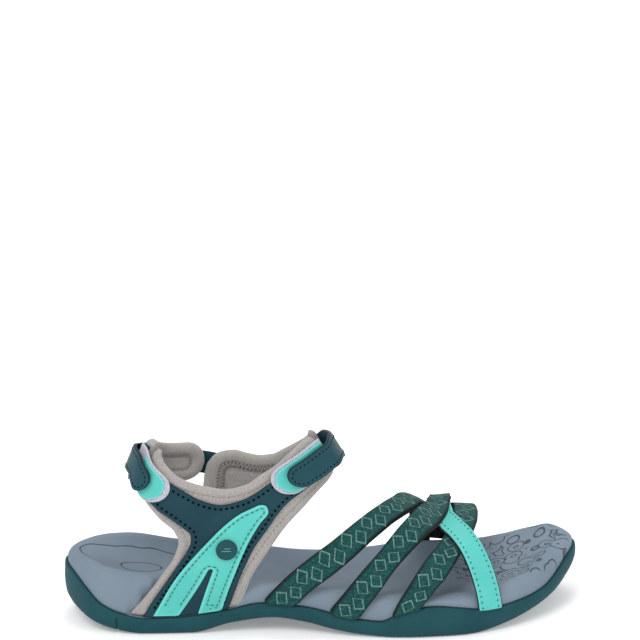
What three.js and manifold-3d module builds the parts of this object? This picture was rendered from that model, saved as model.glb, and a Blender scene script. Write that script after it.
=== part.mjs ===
// Strappy sport sandal for a right foot: rubber outsole, foam footbed, padded ankle quarters,
// hook-and-loop heel and instep straps, and crossing forefoot straps.
// Millimetres. +X points to the toe, +Y to the inner (medial) side of the foot, +Z up.
import * as THREE from 'three';
import Module from 'manifold-3d';

// ---------------------------------------------------------------- sole dimensions
const SOLE_START = 3.4;
const SOLE_END = 257;
const RING_POINTS = 88;
const FOOTBED_COLUMNS = 8;
const LIP_WIDTH = 2;
const FIT_GAP = 0.3;
const CUP_FLOOR = 3.5;
const FOOTBED_CREST_INSET = 7;
const FOOTBED_DISH_INSET = 10;
const SIDE_WALL_INSET = 1.8;
const QUARTER_POCKET = 2.7;
// Plan outline: [distance from the heel, half breadth] of each side.
const LATERAL_OUTLINE = [[3.4, 0], [10, 18.5], [17, 26], [27, 30.3], [45, 33], [70, 33.5], [98, 34.5],
  [120, 37.5], [145, 43.5], [170, 47], [190, 46], [210, 40.5], [228, 30.5], [242, 18], [251, 4],
  [257, -12]];
const MEDIAL_OUTLINE = [[3.4, 0], [10, 18.5], [17, 25.5], [27, 29.8], [45, 32], [70, 30], [98, 26.5],
  [120, 28], [145, 35], [170, 41.5], [190, 43.5], [210, 43], [228, 39.5], [242, 33.5], [251, 26.5],
  [257, 12]];
// Side profiles: [distance from the heel, height].
const GROUND_LINE = [[3.4, 12], [7, 9], [12, 6], [19, 3.4], [28, 1.4], [40, 0], [64, 0], [84, 5],
  [104, 7.4], [118, 5.7], [133, 2.4], [148, 0.6], [160, 0], [200, 0], [218, 2.6], [238, 7.8],
  [248, 11.8], [257, 18]];
const OUTSOLE_TOP = [[3.4, 28], [7, 26], [12, 21.5], [21, 13.8], [33, 9.6], [43, 8.2], [55, 8.4],
  [68, 9.6], [83, 12.2], [98, 15.2], [118, 13.8], [138, 9.8], [154, 8.2], [165, 13], [180, 15.8],
  [193, 14.3], [207, 12], [218, 12.3], [228, 13.2], [238, 15.4], [245, 19.4], [250.5, 23], [257, 26.8]];
const LATERAL_RIM = [[3.4, 33.5], [33, 30], [60, 27.5], [85, 24.5], [118, 22.5], [150, 20.5],
  [180, 19.8], [210, 20], [230, 22.5], [245, 27.5], [257, 31]];
const MEDIAL_RIM = [[3.4, 33.5], [33, 32.5], [60, 28.5], [100, 25.5], [118, 22.5], [148, 19.4],
  [180, 19], [212, 20.5], [225, 23.5], [241, 29], [250, 32], [257, 31]];
const DISH_DEPTH = [[3.4, 1.5], [25, 7.5], [60, 6], [100, 3.5], [150, 3], [200, 3], [240, 2], [257, 1]];
// Flex grooves across the tread: [distance from the heel, half length, depth].
const TREAD_GROOVES = [[28, 40, 3], [74, 24, 1.6], [90, 22, 1.6], [106, 22, 1.6], [122, 24, 1.6],
  [166, 34, 1.8], [184, 34, 1.8], [208, 30, 1.8], [222, 24, 1.8]];
const GROOVE_WIDTH = 2.4;
const SHANK = { from: 70, to: 132, halfWidth: 11, lift: 0.3, thickness: 1.2 };

// ---------------------------------------------------------------- ankle form dimensions
const LEG_POWER = 2.6;
const LEG_CENTRE_Y = -1;
const LEG_HALF_BREADTH = 31.5;
const HEEL_LEAN = 0.48;
const HEEL_BACK = { x: 31, z: 71 };
const INSTEP_LEAN = 0.55;
const INSTEP_FRONT = { x: 143, z: 75 };
// Shallow curves that the strapped-in ankle is pressed to behind the heel and over the instep.
const HEEL_PRESS = { x: 41.6, z: 73, lean: 0.4, y: -8, radius: 55, blend: 3 };
const INSTEP_PRESS = { x: 130, z: 84, lean: -0.6, y: -12, radius: -100, blend: 3 };
const SOLE_JOIN = { z: 9, blendHeight: 31, inset: 4.2, thinTo: 0.5, thinHeight: 25 };
// Layers above the ankle form: [inner face, outer face].
const LAYER = {
  lining: [0, 4.5], cover: [4.8, 5.9], overlay: [6.2, 7.2], badge: [7.5, 8.3],
  landingBase: [6.2, 7.0], landing: [7.3, 8.0], hook: [8.3, 9.0],
};
const STRAP_THICKNESS = 1.5;
const STRAP_HALF_WIDTH = 5.7;
const STRAP_OFFSET_TAB = 9.3;
const STRAP_OFFSET_LOW = 6.3;
const JOINT_GAP = 0.3;

// ---------------------------------------------------------------- ankle outlines
// [distance around the ankle from the back of the heel, height]; outer side positive.
const LATERAL_LINING = {
  rear: [[9, 37.2], [23, 42.5], [32, 45.5], [40, 48], [47, 48.7], [53.5, 45.9], [58, 40.5], [63.5, 34.4],
    [69, 28], [74.5, 21]],
  front: [[12.5, 70.8], [21, 72.7], [30.5, 75.3], [38, 78.8], [46, 83.4], [55, 89.6], [64, 98.7],
    [70.5, 106.4], [75, 113.6], [81, 123.6]],
  collar: [[22.8, 93.5], [33.4, 85.5], [45.9, 78.5], [57.4, 75.5], [66, 74.3], [75.6, 76.5], [81.9, 80.5],
    [90.3, 85], [100.4, 91], [108.6, 95], [118, 98]],
  rearTop: 74.5, frontTop: 81, collarStops: [22.8, 50, 76, 118],
};
const LATERAL_COVER = {
  rear: [[9, 42.3], [18, 44.5], [28, 47.7], [36, 50.2], [44, 52.8], [49, 53.8], [52.5, 53.3], [56, 49.9],
    [60, 45], [63.5, 39.7], [68.5, 33.5], [74, 27]],
  front: [[11.5, 67], [17.5, 68.3], [27, 70.2], [37.8, 73.3], [46, 76.5], [54.3, 81.5], [63.5, 87.7],
    [68.5, 92.7], [73.5, 100.5], [78, 108], [84, 117.5]],
  collar: [[27.5, 85.5], [35.5, 80.5], [42.5, 77], [49, 73.5], [55.3, 70], [63.8, 67.5], [72.3, 69.5],
    [77.9, 72.5], [84.3, 77], [96, 84], [104, 89], [115, 93.5]],
  rearTop: 74, frontTop: 84, collarStops: [27.5, 53, 74, 115],
};
const MEDIAL_LINING = {
  rear: [[9, 50], [20, 52], [30, 54.5], [40, 57], [46.5, 58.5], [53, 59.3], [60, 59.5]],
  front: [[12.5, 71], [21, 72.5], [30.5, 75], [38, 79], [46.5, 86], [52, 94], [58, 103], [64, 112], [68, 119]],
  collar: [[60.2, 64.5], [63.2, 69], [67.3, 71], [72.3, 71.5], [78, 69.8], [84, 68.5], [89.2, 69],
    [96, 72.3], [104, 76.5], [112, 81], [119, 85.5]],
  rearTop: 60, frontTop: 68, collarStops: [60.2, 66, 84, 119],
};
const MEDIAL_COVER = {
  rear: [[9, 55], [20, 57], [30, 59.5], [40, 62], [46.5, 63.5], [56, 64.2]],
  front: [[12, 65.5], [21, 67], [30.5, 69.5], [38, 73.3], [46.5, 80], [54, 90], [60, 99], [66, 107.5], [71, 114.5]],
  collar: [[64.8, 61.5], [68, 64.7], [72.5, 65.3], [78, 63.7], [84, 62.3], [90, 63.5], [97, 67.3],
    [104, 71], [110, 75.5], [114.8, 79]],
  rearTop: 56, frontTop: 71, collarStops: [64.8, 69, 81, 114.8],
};
const QUARTER_BOTTOM = [[37, 10.3], [42, 9.1], [48, 8.9], [53, 9.3], [58, 10.2], [65, 11.9], [71, 14.1]];
const QUARTER_WAIST = 46.5;
const FORK = {
  left: [[9, 45.3], [20, 47.5], [31, 51], [41, 55.5], [50.5, 60.8], [57, 65.2], [62.5, 70.8], [66, 75.2],
    [67.5, 79.5]],
  right: [[10, 65], [18, 66.3], [28, 68.3], [38, 70.5], [47, 73.7], [56, 77.9], [61, 81], [64, 83],
    [67.5, 82.5]],
  notchLeft: [[9, 52.8], [24, 57.6], [36.5, 61.7]],
  notchRight: [[9, 58.3], [24, 60.5], [36.5, 61.7]],
  tip: 67.5, notch: 36.5,
};
const BADGE = { u: 66.7, z: 45.5, radius: 5.2, squeeze: 0.7, points: 28 };

// ---------------------------------------------------------------- ankle straps
const HEEL_STRAP_LINE = [[-84, 57.5], [-70, 61], [-60, 64], [-45, 67], [-28, 71], [-14, 76], [0, 81],
  [8, 84], [16, 84.5], [25, 81], [33, 76.3], [42, 70.5]];
const HEEL_PAD_LINE = [[-60, 66], [-45, 66.5], [-28, 69], [-14, 73], [0, 78], [10, 82.3], [20.5, 84]];
const HEEL_PAD = { from: -59, to: 20, halfWidth: 10, roundOver: 9, coverInset: 1.6 };
const INSTEP_STRAP_LINE = [[84, 73.5], [93, 79], [104, 84.5], [115, 89], [126, 90.6], [138, 87.5],
  [150, 83.5], [163, 79], [171, 76], [179, 72.3], [190, 67]];
const HEEL_STRAP = { tab: [-4, 33], middle: [-68, -4], base: [-82, -68], hook: [13, 30], ramp: [2, 14] };
const INSTEP_STRAP = { tab: [93, 134], middle: [134, 174.5], base: [174.5, 190], hook: [96, 112], ramp: [146, 132] };
const HEEL_LANDING = { base: [9, 41], baseHalf: 7.1, patch: [20.5, 38.8], patchHalf: 6.2 };
const INSTEP_LANDING = { base: [87, 113], baseHalf: 7.4, patch: [88.7, 112], patchHalf: 6.3 };

// ---------------------------------------------------------------- forefoot straps
const ARCH_POWER = 2.2;
const ARCH_APEX_Y = 4;
const ARCH_SEAM_INSET = 1.2;
const ARCH_HEIGHT = [[100, 66], [150, 58.5], [170, 53], [178, 49.2], [187, 44.4], [197, 45.2],
  [207, 44.6], [220, 42.5]];
const WEB_LINING = 0.8;
const WEB_THICKNESS = 1.4;
const LAYER_STEP = 2.8;
// Centre line of each strap: [degrees over the foot from the outer edge, distance from the heel];
// layers is how many straps it lies on, climb the degrees over which it rises onto them, end where it stops.
const FOREFOOT = [
  { name: 'webbing_strap_rear', lining: 'webbing_lining_rear', slot: 'webbing',
    halfWidth: 5.1, layers: 0, climb: [20, 50], end: 180,
    line: [[0, 106.6], [12, 116.7], [24, 127.2], [36, 137.1], [48, 146.1], [60, 154.8], [72, 162.7],
      [84, 169.4], [95, 174], [105, 178], [118, 181], [135, 182], [180, 182]] },
  { name: 'webbing_strap_front', lining: 'webbing_lining_front', slot: 'webbing',
    halfWidth: 5.7, layers: 0, climb: [20, 50], end: 180,
    line: [[0, 167.2], [12, 173.5], [24, 179], [36, 184], [48, 188.7], [60, 193], [70, 196.8],
      [84, 200], [100, 201.6], [115, 201.4], [140, 200.6], [180, 200.6]] },
  { name: 'forefoot_strap', lining: 'forefoot_strap_lining', slot: 'turquoise_pu',
    halfWidth: 5.6, layers: 1, climb: [6, 34], end: 168,
    line: [[0, 208.4], [12, 207.1], [24, 205.1], [36, 202.7], [48, 199.8], [60, 196], [72, 191.3],
      [84, 188.3], [95, 188.3], [110, 188.8], [130, 190.6], [150, 191], [180, 191]] },
  { name: 'webbing_strap_middle', lining: 'webbing_lining_middle', slot: 'webbing',
    halfWidth: 5.1, layers: 2, climb: [25, 58], end: 162,
    line: [[0, 137.2], [12, 144.9], [24, 152.6], [36, 160.6], [48, 168.4], [60, 175.2], [72, 180.8],
      [84, 185.6], [95, 188], [110, 190], [130, 191], [180, 191]] },
];

// ---------------------------------------------------------------- colours
const COLOURS = {
  outsole_rubber: 0x1d5257, footbed_foam: 0x76838f, shank_plastic: 0x3a3f44, lining_fabric: 0xb3aaa5,
  teal_pu: 0x24434e, turquoise_pu: 0x5dcbbf, badge_plastic: 0x22484f, loop_fabric: 0xb7bac8,
  hook_fabric: 0x2a2d31, strap_pu: 0x23454f, webbing: 0x245f5b, black_lining: 0x17191b,
};

// ---------------------------------------------------------------- small helpers
const clamp = (value, low, high) => Math.min(Math.max(value, low), high);
const mix = (a, b, t) => a + (b - a) * t;
const power = (value, exponent) => Math.sign(value) * Math.abs(value) ** exponent;

function ease(value, from, to) {
  const t = clamp((value - from) / (to - from), 0, 1);
  return t * t * (3 - 2 * t);
}

/** Smooth line through [position, value] knots that never overshoots them. */
function smoothLine(knots) {
  const last = knots.length - 1;
  const step = (i) => knots[i + 1][0] - knots[i][0];
  const slope = (i) => (knots[i + 1][1] - knots[i][1]) / step(i);
  const tangent = knots.map((knot, i) => {
    if (i === 0) return slope(0);
    if (i === last) return slope(last - 1);
    if (slope(i - 1) * slope(i) <= 0) return 0;
    const before = 2 * step(i) + step(i - 1);
    const after = step(i) + 2 * step(i - 1);
    return (before + after) / (before / slope(i - 1) + after / slope(i));
  });
  return (position) => {
    let i = 0;
    while (i < last - 1 && position > knots[i + 1][0]) i += 1;
    const h = step(i);
    const t = clamp((position - knots[i][0]) / h, 0, 1);
    const start = (1 + 2 * t) * (1 - t) ** 2 * knots[i][1] + t * (1 - t) ** 2 * h * tangent[i];
    const end = t * t * (3 - 2 * t) * knots[i + 1][1] + t * t * (t - 1) * h * tangent[i + 1];
    return start + end;
  };
}

/** Closed mesh from points and triangles, turned so that it faces outward. */
function solidGeometry(points, triangles) {
  let volume = 0;
  for (const [a, b, c] of triangles) {
    volume += points[a].dot(new THREE.Vector3().crossVectors(points[b], points[c]));
  }
  const facing = volume < 0 ? triangles.map(([a, b, c]) => [a, c, b]) : triangles;
  const geometry = new THREE.BufferGeometry();
  geometry.setAttribute('position', new THREE.Float32BufferAttribute(points.flatMap((p) => p.toArray()), 3));
  geometry.setIndex(facing.flat());
  geometry.computeVertexNormals();
  return geometry;
}

// ---------------------------------------------------------------- sole
const soleTurn = (x) => Math.acos(clamp(1 - (2 * (x - SOLE_START)) / (SOLE_END - SOLE_START), -1, 1));
const lateralByTurn = smoothLine(LATERAL_OUTLINE.map(([x, y]) => [soleTurn(x), -y]));
const medialByTurn = smoothLine(MEDIAL_OUTLINE.map(([x, y]) => [soleTurn(x), y]));
const lateralEdge = (x) => lateralByTurn(soleTurn(x));
const medialEdge = (x) => medialByTurn(soleTurn(x));
const groundLine = smoothLine(GROUND_LINE);
const outsoleTop = smoothLine(OUTSOLE_TOP);
const lateralRim = smoothLine(LATERAL_RIM);
const medialRim = smoothLine(MEDIAL_RIM);
const dishDepth = smoothLine(DISH_DEPTH);
const rimHeight = (x, lateral) => (lateral ? lateralRim(x) : medialRim(x));

/** Point of the plan outline; turn runs heel, outer side, toe, inner side. */
function planPoint(turn) {
  const wrapped = (turn + 2 * Math.PI) % (2 * Math.PI);
  const lateral = wrapped <= Math.PI;
  const folded = lateral ? wrapped : 2 * Math.PI - wrapped;
  const x = mix(SOLE_START, SOLE_END, (1 - Math.cos(folded)) / 2);
  return new THREE.Vector3(x, lateral ? lateralByTurn(folded) : medialByTurn(folded), 0);
}

/** Ring of points around the sole, moved in by inset(x) and lifted to height(x, lateral). */
function soleRing(inset, height) {
  const points = [];
  const nudge = 0.01;
  for (let j = 0; j < RING_POINTS; j += 1) {
    const turn = (2 * Math.PI * j) / RING_POINTS;
    const point = planPoint(turn);
    const along = planPoint(turn + nudge).sub(planPoint(turn - nudge)).normalize();
    const x = point.x;
    point.add(new THREE.Vector3(-along.y, along.x, 0).multiplyScalar(inset(x)));
    point.z = height(x, turn <= Math.PI);
    points.push(point);
  }
  return points;
}

/** Rows of vertex numbers that close the ring starting at first; dish(x, across) lowers the middle. */
function capRows(points, first, columns, dish) {
  const rows = [[first]];
  const half = RING_POINTS / 2;
  for (let j = 1; j < half; j += 1) {
    const left = first + j;
    const right = first + RING_POINTS - j;
    const row = [left];
    for (let k = 1; k < columns; k += 1) {
      const point = points[left].clone().lerp(points[right], k / columns);
      point.z -= dish(point.x, k / columns);
      row.push(points.push(point) - 1);
    }
    row.push(right);
    rows.push(row);
  }
  rows.push([first + half]);
  return rows;
}

function capTriangles(rows, up) {
  const triangles = [];
  const add = (a, b, c) => triangles.push(up ? [a, b, c] : [a, c, b]);
  for (let i = 0; i < rows.length - 1; i += 1) {
    const count = Math.max(rows[i].length, rows[i + 1].length) - 1;
    for (let k = 0; k < count; k += 1) {
      const [a, d] = rows[i].length === 1 ? [rows[i][0], rows[i][0]] : [rows[i][k], rows[i][k + 1]];
      const [b, c] = rows[i + 1].length === 1
        ? [rows[i + 1][0], rows[i + 1][0]] : [rows[i + 1][k], rows[i + 1][k + 1]];
      if (a !== b && b !== c) add(a, b, c);
      if (a !== d) add(a, c, d);
    }
  }
  return triangles;
}

/** Solid through stacked rings, bottom first, closed below and above. */
function ringSolid(rings, columns, dish) {
  const points = rings.flat();
  const triangles = [];
  for (let k = 0; k < rings.length - 1; k += 1) {
    for (let j = 0; j < RING_POINTS; j += 1) {
      const next = (j + 1) % RING_POINTS;
      const [a, b] = [k * RING_POINTS + j, k * RING_POINTS + next];
      triangles.push([a, b, b + RING_POINTS], [a, b + RING_POINTS, a + RING_POINTS]);
    }
  }
  triangles.push(...capTriangles(capRows(points, 0, 1, dish), false));
  triangles.push(...capTriangles(capRows(points, (rings.length - 1) * RING_POINTS, columns, dish), true));
  return solidGeometry(points, triangles);
}

const none = () => 0;

function outsoleBlank() {
  const rings = [
    soleRing(() => 3.5, groundLine),
    soleRing(() => 1, (x) => groundLine(x) + 1.2),
    soleRing(none, (x) => mix(groundLine(x) + 2, outsoleTop(x), 0.35)),
    soleRing(() => 0.3, outsoleTop),
    soleRing(() => 0.3 + LIP_WIDTH, outsoleTop),
    soleRing(() => 1 + LIP_WIDTH, (x) => groundLine(x) + CUP_FLOOR),
  ];
  return ringSolid(rings, 1, none);
}

/** How far the foam side wall stands in, deeper where the ankle quarters tuck in. */
function footbedWall(x) {
  return SIDE_WALL_INSET + QUARTER_POCKET * ease(x, 26, 32) * (1 - ease(x, 91, 98));
}

function footbedBlank() {
  const rings = [
    soleRing(() => 1 + LIP_WIDTH + FIT_GAP, (x) => groundLine(x) + CUP_FLOOR + FIT_GAP),
    soleRing(() => 0.3 + LIP_WIDTH + FIT_GAP, (x) => outsoleTop(x) - 0.1),
    soleRing(footbedWall, (x) => outsoleTop(x) + 0.35),
    soleRing((x) => footbedWall(x) + 0.1, (x, side) => mix(outsoleTop(x), rimHeight(x, side), 0.5)),
    soleRing((x) => Math.max(footbedWall(x) + 0.6, 4), (x, side) => mix(outsoleTop(x), rimHeight(x, side), 0.84)),
    soleRing(() => FOOTBED_CREST_INSET, rimHeight),
    soleRing(() => FOOTBED_DISH_INSET, (x, side) => rimHeight(x, side) - 0.8),
  ];
  const dish = (x, across) => dishDepth(x) * (1 - Math.abs(2 * across - 1) ** 3);
  return ringSolid(rings, FOOTBED_COLUMNS, dish);
}

/** Thin plate that follows the arch of the sole, used for the shank and for its pocket. */
function archPlate(margin, lift, thickness) {
  const rows = [];
  const steps = 10;
  for (let i = 0; i <= steps; i += 1) {
    const x = mix(SHANK.from - margin, SHANK.to + margin, i / steps);
    rows.push([[x, -SHANK.halfWidth - margin], [x, SHANK.halfWidth + margin]]);
  }
  const place = (x, y, offset) => new THREE.Vector3(x, y - 3, groundLine(x) + CUP_FLOOR + offset);
  return sheetSolid([rows], place, () => lift, () => lift + thickness);
}

// ---------------------------------------------------------------- boolean work
async function booleanTools() {
  const wasm = await Module();
  wasm.setup();
  const solid = (geometry) => new wasm.Manifold(new wasm.Mesh({
    numProp: 3,
    vertProperties: new Float32Array(geometry.getAttribute('position').array),
    triVerts: new Uint32Array(geometry.getIndex().array),
  }));
  return (blank, cutters) => {
    const cut = cutters.reduce((body, cutter) => body.subtract(solid(cutter)), solid(blank));
    const mesh = cut.getMesh();
    const geometry = new THREE.BufferGeometry();
    geometry.setAttribute('position', new THREE.BufferAttribute(new Float32Array(mesh.vertProperties), 3));
    geometry.setIndex(new THREE.BufferAttribute(new Uint32Array(mesh.triVerts), 1));
    geometry.computeVertexNormals();
    return geometry;
  };
}

function grooveCutter([x, halfLength, depth]) {
  const tall = 12;
  const height = groundLine(x) + depth;
  const rows = [[[-halfLength, height - tall], [-halfLength, height]], [[halfLength, height - tall], [halfLength, height]]];
  const place = (y, z, offset) => new THREE.Vector3(x + offset, y - 1, z);
  return sheetSolid([rows], place, () => -GROOVE_WIDTH / 2, () => GROOVE_WIDTH / 2);
}

// ---------------------------------------------------------------- ankle form
const heelBack = (z) => HEEL_BACK.x + HEEL_LEAN * (z - HEEL_BACK.z);
const instepFront = (z) => INSTEP_FRONT.x - INSTEP_LEAN * (z - INSTEP_FRONT.z);

const pressAt = (press, y, z) => press.x + press.lean * (z - press.z) + (y - press.y) ** 2 / (2 * press.radius);

/** Distance x on the round section moved in to the pressed curves, with soft corners. */
function pressedIn(x, y, z) {
  const low = pressAt(HEEL_PRESS, y, z);
  const high = pressAt(INSTEP_PRESS, y, z);
  const heeled = (x + low + Math.hypot(x - low, HEEL_PRESS.blend)) / 2;
  return (heeled + high - Math.hypot(heeled - high, INSTEP_PRESS.blend)) / 2;
}

/** Point of the ankle section at an angle from the back of the heel, grown by offset. */
function legSection(angle, z, offset) {
  const centre = (heelBack(z) + instepFront(z)) / 2;
  const reach = (instepFront(z) - heelBack(z)) / 2 + offset;
  const x = centre - reach * power(Math.cos(angle), 2 / LEG_POWER);
  const y = LEG_CENTRE_Y - (LEG_HALF_BREADTH + offset) * power(Math.sin(angle), 2 / LEG_POWER);
  return [x, y];
}

/** Girth table of the ankle section at the front's reference height: [distance, angle]. */
function girthTable() {
  const table = [[0, 0]];
  const steps = 720;
  let [x, y] = legSection(0, INSTEP_FRONT.z, 0);
  for (let i = 1; i <= steps; i += 1) {
    const angle = (Math.PI * i) / steps;
    const [nextX, nextY] = legSection(angle, INSTEP_FRONT.z, 0);
    table.push([table[i - 1][0] + Math.hypot(nextX - x, nextY - y), angle]);
    [x, y] = [nextX, nextY];
  }
  return table;
}

const GIRTH = girthTable();
const HALF_GIRTH = GIRTH[GIRTH.length - 1][0];

function angleAt(distance) {
  let low = 0;
  let high = GIRTH.length - 1;
  while (high - low > 1) {
    const middle = (low + high) >> 1;
    if (GIRTH[middle][0] <= distance) low = middle;
    else high = middle;
  }
  const t = (distance - GIRTH[low][0]) / (GIRTH[high][0] - GIRTH[low][0]);
  return mix(GIRTH[low][1], GIRTH[high][1], clamp(t, 0, 1));
}

/** Point on the ankle form: u runs around it from the back of the heel, outer side positive. */
function legPoint(u, z, offset) {
  const wrapped = ((u + 3 * HALF_GIRTH) % (2 * HALF_GIRTH)) - HALF_GIRTH;
  const side = wrapped >= 0 ? 1 : -1;
  const thin = mix(SOLE_JOIN.thinTo, 1, ease(z, SOLE_JOIN.z, SOLE_JOIN.z + SOLE_JOIN.thinHeight));
  const grown = offset * thin;
  const angle = side * angleAt(Math.abs(wrapped));
  const [roundX, roundY] = legSection(angle, z, 0);
  const [grownX, y] = legSection(angle, z, grown);
  const x = grownX - roundX + pressedIn(roundX, roundY, z);
  const edge = side > 0 ? lateralEdge(x) + SOLE_JOIN.inset - grown : medialEdge(x) - SOLE_JOIN.inset + grown;
  const free = ease(z, SOLE_JOIN.z, SOLE_JOIN.z + SOLE_JOIN.blendHeight);
  return new THREE.Vector3(x, mix(edge, y, free), z);
}

// ---------------------------------------------------------------- sheets on a form
/**
 * Closed sheet from patches, each a list of rows of [a, b] points that share their edges.
 * place(a, b, offset) puts a point on the form; inner and outer give the two face offsets.
 */
function sheetSolid(patches, place, inner, outer) {
  const numbers = new Map();
  const flat = [];
  const numberOf = ([a, b]) => {
    const key = `${a.toFixed(3)},${b.toFixed(3)}`;
    if (!numbers.has(key)) numbers.set(key, flat.push([a, b]) - 1);
    return numbers.get(key);
  };
  const faces = patches.flatMap((rows) => patchTriangles(rows.map((row) => row.map(numberOf))));
  const count = flat.length;
  const points = [
    ...flat.map(([a, b]) => place(a, b, inner(a, b))),
    ...flat.map(([a, b]) => place(a, b, outer(a, b))),
  ];
  const triangles = faces.flatMap(([a, b, c]) => [[a + count, b + count, c + count], [a, c, b]]);
  for (const [a, b] of openEdges(faces)) {
    triangles.push([a, b, b + count], [a, b + count, a + count]);
  }
  return solidGeometry(points, triangles);
}

function patchTriangles(rows) {
  const triangles = [];
  for (let i = 0; i < rows.length - 1; i += 1) {
    for (let j = 0; j < rows[i].length - 1; j += 1) {
      const [a, b, c, d] = [rows[i][j], rows[i][j + 1], rows[i + 1][j + 1], rows[i + 1][j]];
      if (a !== b && b !== c && a !== c) triangles.push([a, b, c]);
      if (a !== c && c !== d && a !== d) triangles.push([a, c, d]);
    }
  }
  return triangles;
}

function openEdges(faces) {
  const edges = new Map();
  for (const face of faces) {
    face.forEach((from, k) => edges.set(`${from}_${face[(k + 1) % 3]}`, [from, face[(k + 1) % 3]]));
  }
  return [...edges.values()].filter(([from, to]) => !edges.has(`${to}_${from}`));
}

/** Rows across a band that follows a centre line, rounded off at a free end if asked. */
function bandRows({ from, to, step, columns, line, halfWidth, roundAt, roundOver }) {
  const centre = smoothLine(line);
  const count = Math.max(2, Math.round(Math.abs(to - from) / step));
  const rows = [];
  for (let i = 0; i <= count; i += 1) {
    const along = mix(from, to, i / count);
    const slope = centre(along + 0.5) - centre(along - 0.5);
    const inEnd = roundOver ? clamp(Math.abs(along - roundAt) / roundOver, 0, 1) : 1;
    const half = halfWidth * Math.hypot(1, slope) * Math.max(0.35, Math.sqrt(1 - (1 - inEnd) ** 2));
    rows.push(acrossRow(columns, (t) => [along, centre(along) + half * (2 * t - 1)]));
  }
  return rows;
}

function acrossRow(columns, pointAt) {
  return Array.from({ length: columns + 1 }, (_, j) => pointAt(j / columns));
}

// ---------------------------------------------------------------- ankle quarters
/** Y-shaped panel: a band along the collar and a stem down to the sole. */
function quarterPatches(outline) {
  const rear = smoothLine(outline.rear);
  const front = smoothLine(outline.front);
  const collar = smoothLine(outline.collar);
  const bottom = smoothLine(QUARTER_BOTTOM);
  const [tip, rearStop, frontStop, frontTip] = outline.collarStops;
  const stemColumns = 6;
  const lower = [];
  const upper = [];
  const addSpan = (count, lowerAt, fromU, toU) => {
    for (let i = lower.length === 0 ? 0 : 1; i <= count; i += 1) {
      const u = mix(fromU, toU, i / count);
      lower.push(lowerAt(i / count));
      upper.push([u, collar(u)]);
    }
  };
  const rearAt = (z) => [rear(z), z];
  const frontAt = (z) => [front(z), z];
  const [rearWaist, frontWaist] = [rear(QUARTER_WAIST), front(QUARTER_WAIST)];
  addSpan(6, (t) => rearAt(mix(outline.rearTop, QUARTER_WAIST, t)), tip, rearStop);
  addSpan(stemColumns, (t) => [mix(rearWaist, frontWaist, t), QUARTER_WAIST], rearStop, frontStop);
  addSpan(8, (t) => frontAt(mix(QUARTER_WAIST, outline.frontTop, t)), frontStop, frontTip);
  const across = 4;
  const band = lower.map(([u, z], i) => (
    acrossRow(across, (t) => [mix(upper[i][0], u, t), mix(upper[i][1], z, t)])));
  const stem = [];
  const stemRows = 6;
  for (let i = 0; i <= stemRows; i += 1) {
    const rise = i / stemRows;
    const [rearZ, frontZ] = [outline.rear[0][0], outline.front[0][0]].map((z) => mix(z, QUARTER_WAIST, rise));
    stem.push(acrossRow(stemColumns, (t) => {
      const u = mix(rear(rearZ), front(frontZ), t);
      return [u, mix(bottom(u), QUARTER_WAIST, rise)];
    }));
  }
  return [band, stem];
}

/** Pointed overlay that splits into two prongs towards the sole. */
function forkPatches() {
  const left = smoothLine(FORK.left);
  const right = smoothLine(FORK.right);
  const notchLeft = smoothLine(FORK.notchLeft);
  const notchRight = smoothLine(FORK.notchRight);
  const bottom = smoothLine(QUARTER_BOTTOM);
  const columns = 2;
  const split = (notchLeft(FORK.notch) - left(FORK.notch)) / (right(FORK.notch) - left(FORK.notch));
  const head = [];
  const headRows = 10;
  for (let i = 0; i <= headRows; i += 1) {
    const z = mix(FORK.notch, FORK.tip, i / headRows);
    const middle = mix(left(z), right(z), split);
    const row = acrossRow(columns, (t) => [mix(left(z), middle, t), z]);
    head.push([...row, ...acrossRow(columns, (t) => [mix(middle, right(z), t), z]).slice(1)]);
  }
  const prong = (from, to) => {
    const rows = [];
    const prongRows = 6;
    for (let i = 0; i <= prongRows; i += 1) {
      const rise = i / prongRows;
      const guide = mix(SOLE_JOIN.z, FORK.notch, rise);
      rows.push(acrossRow(columns, (t) => {
        const u = mix(from(guide), to(guide), t);
        return [u, mix(bottom(u), FORK.notch, rise)];
      }));
    }
    return rows;
  };
  return [head, prong(left, notchLeft), prong(notchRight, right)];
}

function discRows() {
  const rim = Array.from({ length: BADGE.points + 1 }, (_, i) => {
    const angle = (2 * Math.PI * (i % BADGE.points)) / BADGE.points;
    return [BADGE.u + BADGE.squeeze * BADGE.radius * Math.cos(angle), BADGE.z + BADGE.radius * Math.sin(angle)];
  });
  return [rim, rim.map(() => [BADGE.u, BADGE.z])];
}

function legSheet(patches, [inner, outer]) {
  return sheetSolid(patches, legPoint, () => inner, () => outer);
}

const mirrored = (patches) => patches.map((rows) => rows.map((row) => row.map(([u, z]) => [-u, z])));

// ---------------------------------------------------------------- ankle straps and pads
function ankleStrap(line, strap, [from, to], free) {
  const [gapFrom, gapTo] = free;
  const rows = bandRows({
    from: from + gapFrom, to: to - gapTo, step: 3.5, columns: 3, line, halfWidth: STRAP_HALF_WIDTH,
    roundAt: gapFrom === 0 ? from : to, roundOver: gapFrom === 0 || gapTo === 0 ? 5 : 0,
  });
  const offset = (u) => mix(STRAP_OFFSET_LOW, STRAP_OFFSET_TAB, ease(u, ...strap.ramp));
  return sheetSolid([rows], legPoint, offset, (u) => offset(u) + STRAP_THICKNESS);
}

function ankleBand(line, [from, to], halfWidth, layer, roundAt, roundOver) {
  const rows = bandRows({ from, to, step: 3, columns: 4, line, halfWidth, roundAt, roundOver });
  return legSheet([rows], layer);
}

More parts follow.
